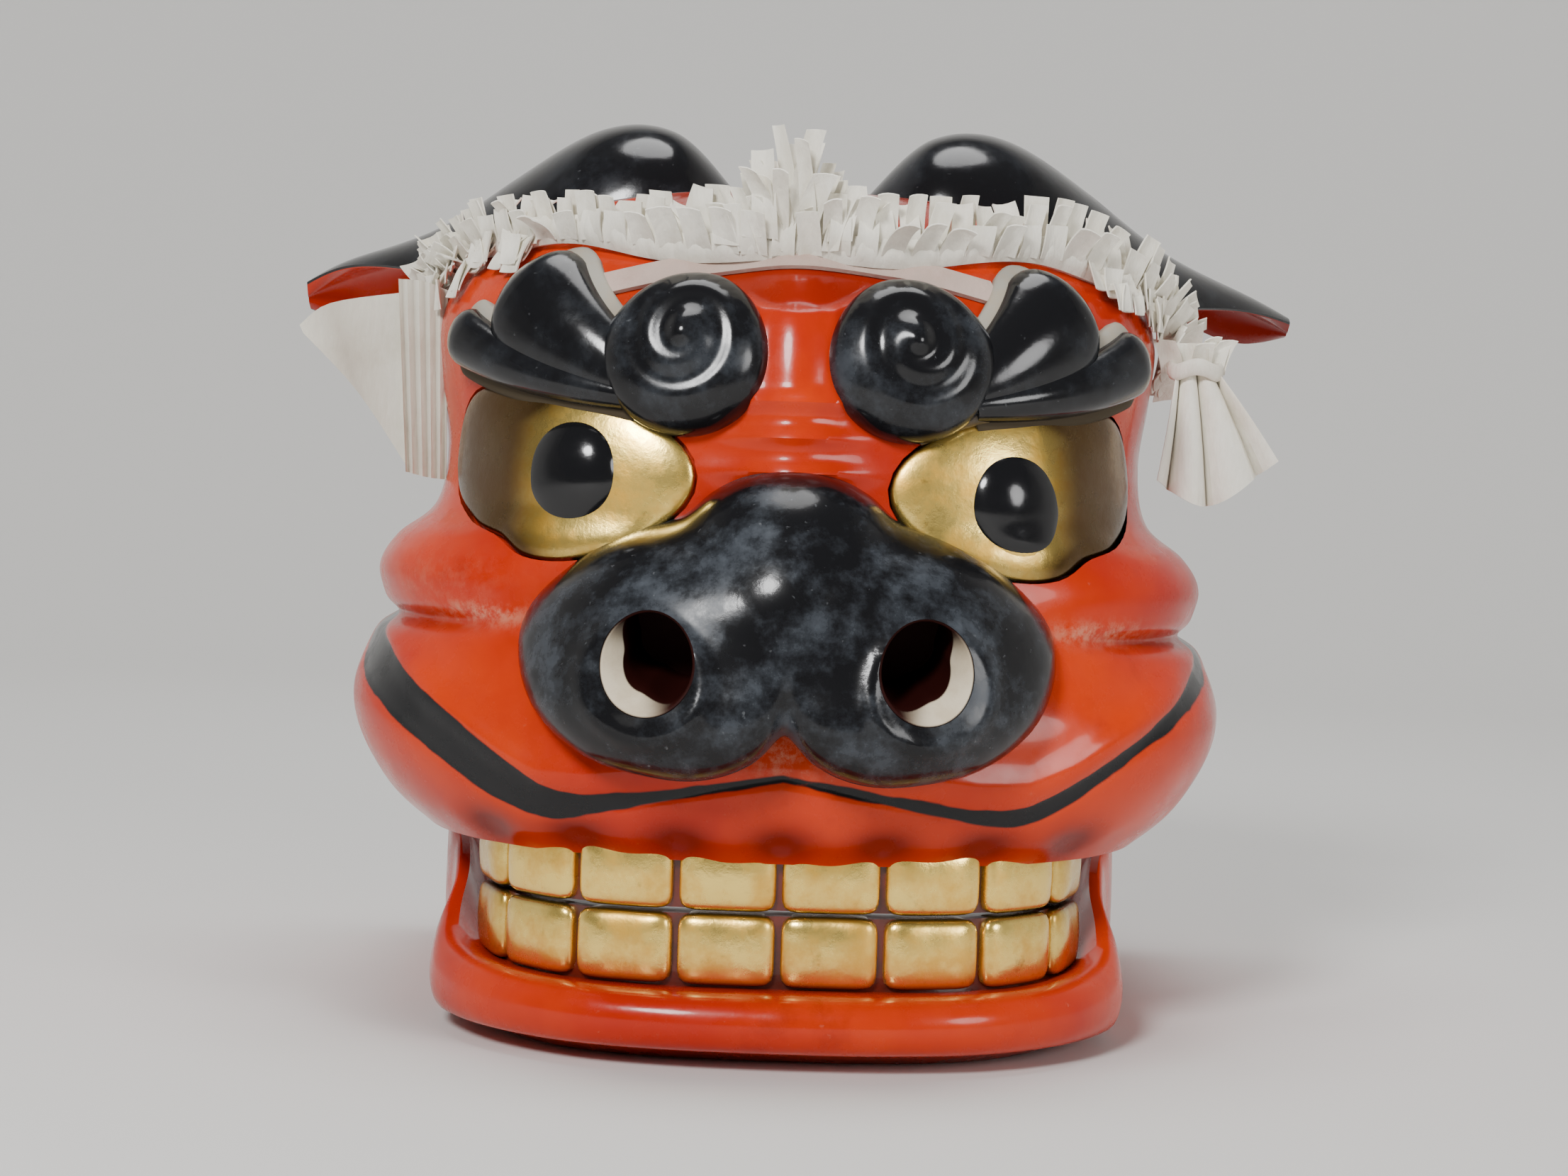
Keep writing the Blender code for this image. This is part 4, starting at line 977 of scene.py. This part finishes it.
# Edge of the jaw from the chin to its rear: shares across and along, climb to the corner, and rear share
JAW_ROWS = (
    (0.00, -1.000, 0.00, 0.00), (0.30, -0.985, 0.00, 0.00), (0.58, -0.925, 0.02, 0.00),
    (0.82, -0.790, 0.06, 0.00), (0.97, -0.610, 0.22, 0.00), (1.00, -0.460, 0.55, 0.00),
    (0.975, -0.350, 0.90, 0.25), (0.98, -0.240, 1.00, 0.75), (1.02, -0.100, 1.00, 1.00),
    (1.06, 0.240, 1.00, 1.00), (1.078, 0.500, 1.00, 1.00), (1.070, 0.660, 0.90, 1.00),
    (1.060, 0.820, 0.55, 1.00), (1.045, 1.000, 0.20, 1.00),
)


def make_jaw():
    """Make the lower jaw's rolled lip, which climbs at its corners and runs on as the side walls."""
    half, shades = [], []
    inner_arc = arc_table(TEETH_HALF_WIDTH, TEETH_DEPTH, TEETH_BACKING)[1]
    inner_turns = np.arctan2(inner_arc[:, 0], -inner_arc[:, 1])
    for share in np.linspace(0, 1, 150):
        x, y, climb, rear = smooth_rows(JAW_ROWS, share)
        rear = float(np.clip(rear, 0, 1))
        outer = np.array([x * JAW_HALF_WIDTH, y * (LIP_DEPTH if y < 0 else JAW_BACK)])
        turn = math.atan2(outer[0], max(-outer[1], 0.001))
        inner = np.array([np.interp(turn, inner_turns, inner_arc[:, i]) for i in (0, 1)])
        inner = inner * (1 - rear) + rear * np.array([outer[0] - JAW_WALL, max(outer[1], 0)])
        if outer[1] > 0:
            inner = np.array([outer[0] - JAW_WALL, outer[1]])
        front = (1 - float(np.clip(climb, 0, 1))) * (1 - rear)
        top = LIP_TOP + (LIP_CORNER_TOP - LIP_TOP) * climb
        top = top + (JAW_SIDE_TOP - LIP_CORNER_TOP) * rear
        chin = 0.001 + 0.004 * front
        ledge = LIP_TOP + (top - LIP_TOP) * rear - 0.001
        ring = []
        middle, tall = (chin + top) / 2, (top - chin) / 2
        for angle in np.linspace(-math.pi / 2, math.pi / 2, 19):
            roll = max(0.0, math.cos(angle)) ** (0.62 - 0.3 * rear)
            q = 0.72 + 0.28 * roll if rear < 1 else 0.80 + 0.20 * roll
            ring.append((q, middle + tall * math.sin(angle)))
        ring += [(0.55, ledge + 0.35 * (top - ledge) * (1 - rear)), (0.35, ledge), (0.15, ledge),
                 (0.0, ledge), (0.0, 0.0), (0.40, 0.0)]
        half.append([(*(inner + (outer - inner) * q), z) for q, z in ring])
        # painted shade on the ledge between the teeth and the lip roll, fading towards the rear
        shades.append([0.75 * (1 - rear) if i in (20, 21, 22) else 0.0 for i in range(len(ring))])
    half, shades = np.array(half), np.array(shades)
    mirrored = half[:0:-1].copy()
    mirrored[..., 0] *= -1
    points, faces = swept(np.concatenate([mirrored, half]))
    shade = np.concatenate([shades[:0:-1], shades]).ravel()
    values = {"shade": shade, "paint": shade * 0, "scuff": shade * 0}
    make_piece("jaw_lip", points, faces, LACQUER_MARKS_AND_SHADE, "jaw", "jaw_lacquer", ("lower_jaw",), 42, values)


# The hinge lugs stand just inside the head's narrowest inner side
LUG_REACH = HEAD_ROWS[0][1] / 100 * (HALF_WIDTH - HEAD_WALL) * (1 - BACK_NARROWING) - LUG_CLEARANCE


def make_jaw_floor():
    """Make the jaw's flat floor and the two lugs around the hinge rod."""
    arc = arc_table(TEETH_HALF_WIDTH, TEETH_DEPTH, TEETH_BACKING * 0.5)[1]
    rim = [tuple(arc[i]) for i in range(0, 250, 6)]
    back = HINGE_Y + LUG_RADIUS + LUG_CLEARANCE
    rows = smooth_rows(JAW_ROWS, np.linspace(0.55, 1, 40))
    edges = [(x * JAW_HALF_WIDTH, y * (LIP_DEPTH if y < 0 else JAW_BACK)) for x, y, climb, rear in rows]
    rim += [(x - 0.6 * JAW_WALL, y) for x, y in edges if 0 < y < back - JAW_WALL / 2]
    rim.append((rim[-1][0], back))
    outline = rim + [(-x, y) for x, y in rim[:0:-1]]
    parts = [swept(np.array([[(x, y, z) for x, y in outline] for z in (0.0, JAW_FLOOR)]))]
    for side in SIDE_WORD:
        ring = [(LUG_RADIUS * math.cos(a), HINGE_HEIGHT + LUG_RADIUS * math.sin(a))
                for a in np.linspace(0, math.pi, 40)]
        ring += [(-LUG_RADIUS, 0.5 * JAW_FLOOR), (LUG_RADIUS, 0.5 * JAW_FLOOR)]
        ends = (side * (LUG_REACH - LUG_THICKNESS), side * LUG_REACH)
        parts.append(swept(np.array([[(x, HINGE_Y + y, z) for y, z in ring] for x in ends])))
    points, faces = merged(parts)
    floor = make_piece("jaw_floor", points, faces, LACQUER, "jaw", "jaw_lacquer", (), 30, weld=0)
    cut(floor, [bar((-HOLE_TO, HINGE_Y, HINGE_HEIGHT), (HOLE_TO, HINGE_Y, HINGE_HEIGHT),
                    ROD_RADIUS + ROD_CLEARANCE, 32)])


# Ears

# Along each ear: share of its reach, height, setback and width as shares of sizes, and roll in degrees
EAR_BLACK_TO = {-1: 0.62, 1: 0.70}
# painted shade on the red lining: strong on the right ear, faint on the left
EAR_LINING_SHADE = {-1: 0.10, 1: 0.85}
EAR_ROWS = (
    (0.13, -0.036, 0.061, 0.40, 60), (0.25, 0.050, 0.073, 0.80, 55), (0.40, 0.065, 0.109, 1.00, 45),
    (0.57, 0.005, 0.152, 1.00, 28), (0.74, -0.079, 0.194, 0.85, 0), (0.90, -0.148, 0.242, 0.55, -24),
    (1.00, -0.191, 0.279, 0.16, -34),
)


def make_ear(side):
    """Make one cupped ear: black outside with a red inner side, rolled open towards its tip."""
    word = SIDE_WORD[side]
    crown = MOUTH_EDGE_HEIGHT + HEAD_HEIGHT
    across = np.linspace(-1, 1, 41)
    grids = {"outer": [], "core": [], "lining": []}
    black_to, lining_shade = EAR_BLACK_TO[side], EAR_LINING_SHADE[side]
    for share in np.linspace(0, 1, 90):
        reach, height, back, width, roll = smooth_rows(EAR_ROWS, share)
        roll += EAR_TIP_ROLL[side] * share**2
        centre = np.array([side * reach, back, height]) * EAR_REACH + [0, EAR_SETBACK, crown]
        radius, lean = EAR_WIDTH * width / 1.9 + 0.002, math.radians(roll)
        for key, inset in (("outer", 0.0), ("core", EAR_WALL * 0.72), ("lining", EAR_WALL)):
            line = []
            for place in across:
                bend = math.radians(62) * place
                thin = inset * (1 - 0.75 * abs(place) ** 6)
                out = np.array([0, math.sin(bend - lean), math.cos(bend - lean)])
                line.append(centre + out * (radius - thin) - np.array([0, 0, radius]) * math.cos(lean))
            grids[key].append(line)
    outer, core, lining = (np.array(grids[key]) for key in ("outer", "core", "lining"))
    shell = make_piece(f"{word}_ear_shell", *slab(outer, core), BLACK_GLOSS, "head", "black_lacquer",
                       (f"{word}_ear",), 50)
    paint = np.repeat(1 - ramp(np.linspace(0, 1, 90), black_to - 0.02, black_to + 0.02), len(across))
    blank = np.zeros(2 * len(paint))
    # painted shade on the lining by its side's share
    values = {"paint": np.tile(paint, 2), "shade": blank + lining_shade, "scuff": blank}
    sheet = slab(core - (core - outer) * 0.02, lining)
    inner = make_piece(f"{word}_ear_lining", *sheet, LACQUER_MARKS_AND_SHADE, "head", "red_lacquer", (), 50, values)
    form = head_form(0.0008)
    for piece in (shell, inner):
        cut(piece, [form])


def head_form(gap):
    """Return the head's outer form as one filled solid, a gap larger all round."""
    spread_turns = np.linspace(-1, 1, 73)
    turns = (math.pi / 2 + BACK_TURN) * (0.8 * spread_turns + 0.2 * spread_turns**3)
    points = head_surface(*np.meshgrid(turns, np.linspace(0, 1, 49)), wall=-gap, detail=1)
    rows, columns = points.shape[:2]
    faces = grid_faces(rows, columns)
    faces.append(tuple(range(columns))[::-1])
    rim = [r * columns for r in range(rows)] + [r * columns + columns - 1 for r in range(rows - 2, -1, -1)]
    faces.append(tuple(rim))
    work = bmesh.new()
    verts = [work.verts.new(p) for p in points.reshape(-1, 3)]
    for face in faces:
        work.faces.new([verts[i] for i in face])
    bmesh.ops.remove_doubles(work, verts=work.verts, dist=1e-5)
    bmesh.ops.dissolve_degenerate(work, edges=work.edges, dist=1e-5)
    bmesh.ops.triangulate(work, faces=work.faces)
    work.verts.index_update()
    result = [tuple(v.co) for v in work.verts], [tuple(v.index for v in f.verts) for f in work.faces]
    work.free()
    return result


# Paper

# Foot of the mane: share of a quarter turn in percent, height share, and height of its tabs in metres
FRINGE_ROWS = (
    (-99, 0.820, 0.006), (-84, 0.870, 0.006), (-66, 0.880, 0.007), (-48, 0.880, 0.007), (-30, 0.870, 0.009),
    (-16, 0.862, 0.021), (-9, 0.860, 0.028), (-1, 0.860, 0.021), (14, 0.865, 0.012), (38, 0.872, 0.009),
    (58, 0.872, 0.010), (76, 0.838, 0.009), (90, 0.775, 0.008), (100, 0.710, 0.007),
)


PAPER_THICKNESS = 0.0005
SHEET_THICKNESS = 0.0008
BAND_HEIGHT = 0.0085
TAPE_HALF_HEIGHT = 0.017
STRIP_STEPS = 9
TUFT_STRIPS = 30
# Each layer of tabs: pitch, width, height of its foot, stand-off, lean in radians, and share of the full height
TAB_LAYERS = (
    (0.0078, 0.0075, 0.0020, 0.0008, -0.10, 1.00),
    (0.0072, 0.0068, 0.0022, 0.0022, 0.16, 0.90),
    (0.0080, 0.0080, 0.0008, 0.0038, 0.42, 0.72),
)


def strip(foot, up, out, along, width, length, lean, curl, sway=0.0, twist=0.0):
    """Return one curled paper tab that stands up from its foot, leans out and sways along the mane."""
    front, back = [], []
    centre, angle = np.array(foot, float), lean
    for i in range(STRIP_STEPS):
        share = i / (STRIP_STEPS - 1)
        rise = up * math.cos(angle) + out * math.sin(angle) + along * sway * (0.4 + share)
        rise /= np.linalg.norm(rise)
        face = out * math.cos(angle) - up * math.sin(angle)
        wide = along * math.cos(twist * share) + face * math.sin(twist * share)
        half = width / 2 * (1 - 0.05 * share)
        row = [centre + wide * half * w - face * (0.0009 * (1 - w * w)) for w in (-1, -0.5, 0, 0.5, 1)]
        front.append([p + face * PAPER_THICKNESS for p in row])
        back.append(row)
        centre = centre + rise * length / (STRIP_STEPS - 1)
        angle += curl / STRIP_STEPS
    return slab(np.array(front), np.array(back))


def fringe_line():
    """Return a function that gives the mane's foot, directions and tab length at a distance along it."""
    turns, heights, tabs = smooth_rows(FRINGE_ROWS, np.linspace(0, 1, 400)).T
    turns = turns / 100 * math.pi / 2
    line = head_point(turns, heights, 0.001)
    length = np.concatenate([[0], np.cumsum(np.linalg.norm(np.diff(line, axis=0), axis=1))])

    def at(place):
        foot, far, near = (np.array([np.interp(place + step, length, line[:, i]) for i in range(3)])
                           for step in (0.0, -0.002, 0.002))
        along = (near - far) / np.linalg.norm(near - far)
        out = np.array([foot[0], foot[1], 0.0])
        out /= np.linalg.norm(out)
        end = ramp(abs(np.interp(place, length, turns)), 1.05, 1.5)
        up = np.array([0.0, 0.0, 1.0]) + out * 0.55 * end
        return foot, up / np.linalg.norm(up), out, along, float(np.interp(place, length, tabs)), end
    return at, length[-1]


def make_fringe():
    """Make the cut paper mane: a creased band, layers of curled tabs, the tuft and the loose ends."""
    rng = random.Random(41)
    vary = rng.uniform
    at, total = fringe_line()
    front, back, shade = [], [], []
    levels = np.linspace(0, 1, 6)
    for place in np.linspace(0, total, 320):
        foot, up, out, along, tab, end = at(place)
        wave = 0.0007 * math.sin(place * 640) + 0.0005 * math.sin(place * 1530 + 1)
        low = -0.0018 + 0.0014 * math.sin(place * 95)
        front.append([foot + out * (0.0028 + wave * q + 0.0016 * math.sin(q * 3))
                      + up * (low + BAND_HEIGHT * q) for q in levels])
        back.append([foot + out * (0.0012 + wave * q) + up * (low + BAND_HEIGHT * q) for q in levels])
        # painted shade: the band darkens towards its foot, under the tabs
        shade.append(0.5 * (1 - levels))
    points, faces = slab(np.array(front), np.array(back))
    values = {"shade": np.tile(np.array(shade).ravel(), 2)}
    make_piece("paper_band", points, faces, PAPER, "head", "white_paper", ("paper_fringe",), 50, values)
    parts, shades = [], []

    def add(start, *shape, dark=0.7, **more):
        part = strip(start, *shape, **more)
        parts.append(part)
        gap = np.linalg.norm(part[0] - start, axis=1)
        # painted shade: each tab darkens towards its foot
        shades.append(np.clip(dark - gap / 0.009, 0, 1))
    for pitch, wide, low, stand, tilt, share in TAB_LAYERS:
        place = pitch * 0.5
        while place < total - 0.002:
            foot, up, out, along, tab, end = at(place)
            tall = (0.0070 + min(tab, 0.012) * vary(0.60, 1.10)) * share
            lean = tilt + vary(-0.12, 0.16) + 0.25 * end
            curl = rng.choice((-1.2, -0.5, 0.1, 0.4, 0.9)) * vary(0.5, 1.1)
            add(foot + out * stand + up * low, up, out, along, wide * vary(0.78, 1.0), tall, lean,
                curl, vary(-0.16, 0.16), vary(-0.3, 0.3))
            place += pitch * vary(0.92, 1.08)
    # The tuft in the middle
    middle = total * 0.475
    for index in range(TUFT_STRIPS):
        offset = rng.gauss(0.0, 0.011)
        foot, up, out, along, tab, end = at(middle + offset)
        tall = (0.010 + 0.024 * math.exp(-(offset / 0.013) ** 2)) * vary(0.62, 1.05)
        add(foot + out * vary(0.0005, 0.006) + up * vary(0.001, 0.006), up, out, along,
            vary(0.0034, 0.0078), tall, vary(-0.15, 0.35), vary(-0.9, 0.7),
            offset * 28 + vary(-0.30, 0.30), vary(-0.8, 0.8), dark=0.55)
    # The wads at the two ends
    for start, reach, count in ((total * 0.008, 1, 22), (total * 0.988, -1, 10)):
        for index in range(count):
            foot, up, out, along, tab, end = at(start + reach * index * 0.0014)
            add(foot + out * vary(0.002, 0.007) - up * vary(0.000, 0.008), up, out, along,
                vary(0.0060, 0.0090), vary(0.009, 0.014), vary(0.2, 1.1),
                vary(-1.4, 1.0), vary(-0.45, 0.45), vary(-0.7, 0.7))
    # The crumpled strips on the shoulders
    for side, low_turn, high_turn, count in ((-1, 0.92, 1.45, 46), (1, 0.95, 1.38, 24)):
        for index in range(count):
            turn = side * vary(low_turn, high_turn)
            line_height = float(np.interp(turn / (math.pi / 2) * 100, [r[0] for r in FRINGE_ROWS],
                                          [r[1] for r in FRINGE_ROWS]))
            height = line_height - vary(0.004, 0.055 + 0.04 * (abs(turn) > 1.15) * (side < 0))
            foot, above, beside = (head_point(turn + t, height + h, 0.0015)
                                   for t, h in ((0, 0), (0, 0.02), (0.02, 0)))
            up = (above - foot) / np.linalg.norm(above - foot)
            along = (beside - foot) / np.linalg.norm(beside - foot)
            out = np.cross(along, up)
            add(foot + out * vary(0.0005, 0.0030), up, out, along, vary(0.0060, 0.0090),
                vary(0.0080, 0.0125), vary(0.05, 0.45), vary(-0.9, 0.5),
                vary(-0.6, 0.6), vary(-0.4, 0.4), dark=0.45)
    points, faces = merged(parts)
    make_piece("paper_tabs", points, faces, PAPER, "head", "white_paper", (), 40,
               {"shade": np.concatenate(shades)}, weld=0)


def make_tape():
    """Make the stained paper tape that shows under the mane, across the top of the forehead."""
    rows = ((-0.62, 0.812), (-0.335, 0.846), (-0.02, 0.864), (0.31, 0.853), (0.60, 0.820))
    line = smooth_rows(rows, np.linspace(0, 1, 100))
    shares = np.linspace(-1, 1, 9)
    front, back = (np.array([[head_point(t, h + TAPE_HALF_HEIGHT * q, base + arch * math.cos(q), 2)
                              for q in shares] for t, h in line])
                   for base, arch in ((0.0016, 0.0006), (0.0004, 0.0)))
    make_piece("forehead_tape", *slab(front, back), TAPE, "head", "white_paper")


# Each hanging: name, top and bottom lines (share of the half width, height), pleats, how far forward,
# pleat depth, finish, the CAD node it stands for, whether the pleats are rolled, and swell
HANGINGS = (
    ("left_paper_sheet", ((-1.16, 0.2060), (-1.09, 0.2130), (-0.92, 0.2170)),
     ((-1.15, 0.2035), (-1.02, 0.1860), (-0.895, 0.1625)), 1, -0.0285, 0.0012, PAPER_GREY,
     ("left_paper_hanging",), False, 0.0),
    ("left_paper_folds", ((-0.93, 0.2210), (-0.87, 0.2205), (-0.815, 0.2180)),
     ((-0.90, 0.1620), (-0.85, 0.1605), (-0.805, 0.1600)), 5, -0.0295, 0.0030, PAPER_GREY,
     (), False, 0.0),
    ("right_paper_gather", ((0.885, 0.2020), (0.93, 0.2040), (0.975, 0.2020)),
     ((0.845, 0.1670), (0.97, 0.1595), (1.125, 0.1740)), 3, -0.0240, 0.0110, PAPER,
     ("right_paper_hanging",), True, 0.003),
)
PLEAT_SMOOTH = 25
KNOT_ACROSS = 0.930
KNOT_FRONT = -0.0290
KNOT_HEIGHT = 0.2012
KNOT_RADIUS = 0.0072


def pleated(name, top, bottom, pleats, depth, thickness, finish, replaces, soft, swell):
    """Make a folded paper hanging between a top line and a bottom line, with sharp or rolled pleats."""
    columns, rows = pleats * 10 + 1, 22
    top, bottom = (np.array(line) * (HALF_WIDTH, 1) for line in (top, bottom))
    front, back, shade = [], [], []
    for r in range(rows):
        share = r / (rows - 1)
        row_front, row_back, row_shade = [], [], []
        for c in range(columns):
            across = c / (columns - 1)
            start = smooth_rows(top, np.array(across))
            end = smooth_rows(bottom, np.array(across))
            p = start + (end - start) * share
            fold = abs((across * pleats) % 1 - 0.5) * 2
            if soft:
                fold = math.sqrt(max(0.0, 1 - (1 - fold) ** 2)) * 0.999
            y = depth - thickness * (0.30 + 0.70 * fold * (0.45 + 0.55 * share))
            y -= swell * math.sin(share * math.pi)
            row_front.append((p[0], y, p[1]))
            row_back.append((p[0], y + SHEET_THICKNESS, p[1]))
            # painted shade in the valley of each pleat
            row_shade.append((0.25 if soft else 0.65) * (1 - fold) ** 2)
        front.append(row_front)
        back.append(row_back)
        shade.append(row_shade)
    values = {"shade": np.tile(np.array(shade).ravel(), 2)}
    make_piece(name, *slab(np.array(front), np.array(back)), finish, "head", "white_paper", replaces,
               PLEAT_SMOOTH, values)


def make_hangings():
    """Make the folded sheet on the left, and the gathered paper with its knot on the right."""
    for hanging in HANGINGS:
        pleated(*hanging)
    vary = random.Random(17).uniform
    parts, shades = [], []
    up, out, along = np.array([0.0, 0, 1]), np.array([0.0, -1, 0]), np.array([1.0, 0, 0])
    for index in range(9):
        start = np.array([(0.88 + 0.012 * index) * HALF_WIDTH, -0.0265 - 0.0007 * (index % 3), 0.2000])
        part = strip(start, up, out, along, vary(0.006, 0.0085), vary(0.0085, 0.0125),
                     vary(-0.2, 0.6), vary(-0.8, 0.6), (index - 4) * 0.10, vary(-0.5, 0.5))
        parts.append(part)
        # painted shade: the knot's strips darken towards their lower ends
        shades.append(np.clip(0.6 - (part[0][:, 2] - 0.2) / 0.006, 0, 1))
    ring = []
    for t in circle(48):
        out_from = np.array([math.cos(t), math.sin(t) * 0.75, 0.12 * math.sin(3 * t)])
        middle = np.array([KNOT_ACROSS * HALF_WIDTH, KNOT_FRONT, KNOT_HEIGHT]) + out_from * KNOT_RADIUS
        ring.append([middle + out_from * 0.0016 * math.cos(a) + np.array([0, 0, 0.0026 * math.sin(a)])
                     for a in circle(12)])
    points = np.array(ring).reshape(-1, 3)
    faces = [(i * 12 + j, i * 12 + (j + 1) % 12, ((i + 1) % 48) * 12 + (j + 1) % 12, ((i + 1) % 48) * 12 + j)
             for i in range(48) for j in range(12)]
    parts.append((points, faces))
    # painted shade over the whole knot
    shades.append(np.full(len(points), 0.25))
    points, faces = merged(parts)
    make_piece("right_paper_knot", points, faces, PAPER, "head", "white_paper", (), 40,
               {"shade": np.concatenate(shades)}, weld=0)


make_head()
for side in SIDE_WORD:
    make_eye(side)
    make_lid(side)
    make_brow(side)
    make_ear(side)
make_nose()
make_gum("upper_gum", BITE_HEIGHT + 0.0008, UPPER_GUM_TOP, TEETH_BACKING, "head")
make_teeth("upper_tooth", BITE_HEIGHT + BITE_GAP, UPPER_TOOTH_TOP, "head", 3)
make_jaw()
make_jaw_floor()
make_gum("lower_gum", LIP_TOP - 0.006, BITE_HEIGHT - 0.0008, 0.8 * TEETH_BACKING, "jaw")
make_teeth("lower_tooth", LOWER_TOOTH_FOOT, BITE_HEIGHT - BITE_GAP, "jaw", 8)
make_fringe()
make_tape()
make_hangings()
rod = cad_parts["jaw_hinge_rod"]
rod.data.materials.clear()
rod.data.materials.append(ROD_WOOD)


# Floor, light and camera

FLOOR_FLAT = 1.3
FLOOR_DROP = 0.0004
WALL_BEND = 1.1
WALL_TOP = 3.2
LIGHTS = (
    ("key", (-0.50, -1.35, 1.05), (0, 0, 0.13), 0.42, 25),
    ("fill", (1.05, -1.10, 0.55), (0, 0, 0.12), 0.50, 7),
    ("wall", (0.0, 0.3, 2.6), (0, 0.9, 0.4), 1.6, 46),
)


def make_floor():
    """Lay a plain pale floor under the mask that sweeps up into a plain wall behind and beside it."""
    rings = [(0.6, 0.0), (FLOOR_FLAT, 0.0)]
    rings += [(FLOOR_FLAT + WALL_BEND * math.sin(a), WALL_BEND - WALL_BEND * math.cos(a))
              for a in np.linspace(0.1, math.pi / 2, 16)]
    rings.append((FLOOR_FLAT + WALL_BEND, WALL_TOP))
    points, count, around = [], len(rings), 96
    for turn in circle(around):
        wall = float(ramp(math.sin(turn), -0.75, -0.05))
        for r, z in rings:
            reach = r + (1 - wall) * max(0, r - FLOOR_FLAT) * 2
            points.append((reach * math.cos(turn), reach * math.sin(turn), wall * z - FLOOR_DROP))
    points.append((0, 0, -FLOOR_DROP))
    faces = wrapped_faces(around, count)
    faces += [(i * count, ((i + 1) % around) * count, len(points) - 1) for i in range(around)]
    mesh = bpy.data.meshes.new("floor")
    mesh.from_pydata(points, [], faces)
    mesh.shade_smooth()
    floor = bpy.data.objects.new("floor", mesh)
    bpy.context.scene.collection.objects.link(floor)
    made, node, feed = new_material("floor_paint")
    feed("Base Color", (0.70, 0.69, 0.67, 1))
    feed("Roughness", 0.8)
    feed("Specular IOR Level", 0.2)
    mesh.materials.append(made)


def add_light(name, place, target, size, power):
    """Add one soft round light that faces a point."""
    data = bpy.data.lights.new(name, "AREA")
    data.shape = "DISK"
    data.size = size
    data.energy = power
    lamp = bpy.data.objects.new(name, data)
    lamp.location = place
    lamp.rotation_mode = "QUATERNION"
    lamp.rotation_quaternion = (Vector(target) - Vector(place)).to_track_quat("-Z", "Y")
    bpy.context.scene.collection.objects.link(lamp)


make_floor()
for light in LIGHTS:
    add_light(*light)
world = bpy.data.worlds.new("studio")
world.use_nodes = True
world.node_tree.nodes["Background"].inputs["Color"].default_value = (0.82, 0.84, 0.88, 1)
world.node_tree.nodes["Background"].inputs["Strength"].default_value = 0.15
bpy.context.scene.world = world

CAMERA_ACROSS = -0.0015
CAMERA_DISTANCE = 0.900
CAMERA_HEIGHT = 0.168
CAMERA_PITCH = math.radians(2.5)
CAMERA_ROLL = math.radians(1.9)
FOCAL_PIXELS = 3983.0
PHOTO_WIDTH = 2212
SENSOR_WIDTH = 36
lens = bpy.data.cameras.new("camera")
lens.sensor_width = SENSOR_WIDTH
lens.lens = FOCAL_PIXELS / PHOTO_WIDTH * SENSOR_WIDTH
lens.clip_start = 0.01
camera = bpy.data.objects.new("camera", lens)
bpy.context.scene.collection.objects.link(camera)
forward = Vector((0, math.cos(CAMERA_PITCH), -math.sin(CAMERA_PITCH)))
level = Vector((1, 0, 0))
above = level.cross(forward)
right = math.cos(CAMERA_ROLL) * level + math.sin(CAMERA_ROLL) * above
up = -math.sin(CAMERA_ROLL) * level + math.cos(CAMERA_ROLL) * above
camera.matrix_world = (Matrix.Translation((CAMERA_ACROSS, -CAMERA_DISTANCE, CAMERA_HEIGHT))
                       @ Matrix((right, up, -forward)).transposed().to_4x4())
bpy.context.scene.camera = camera
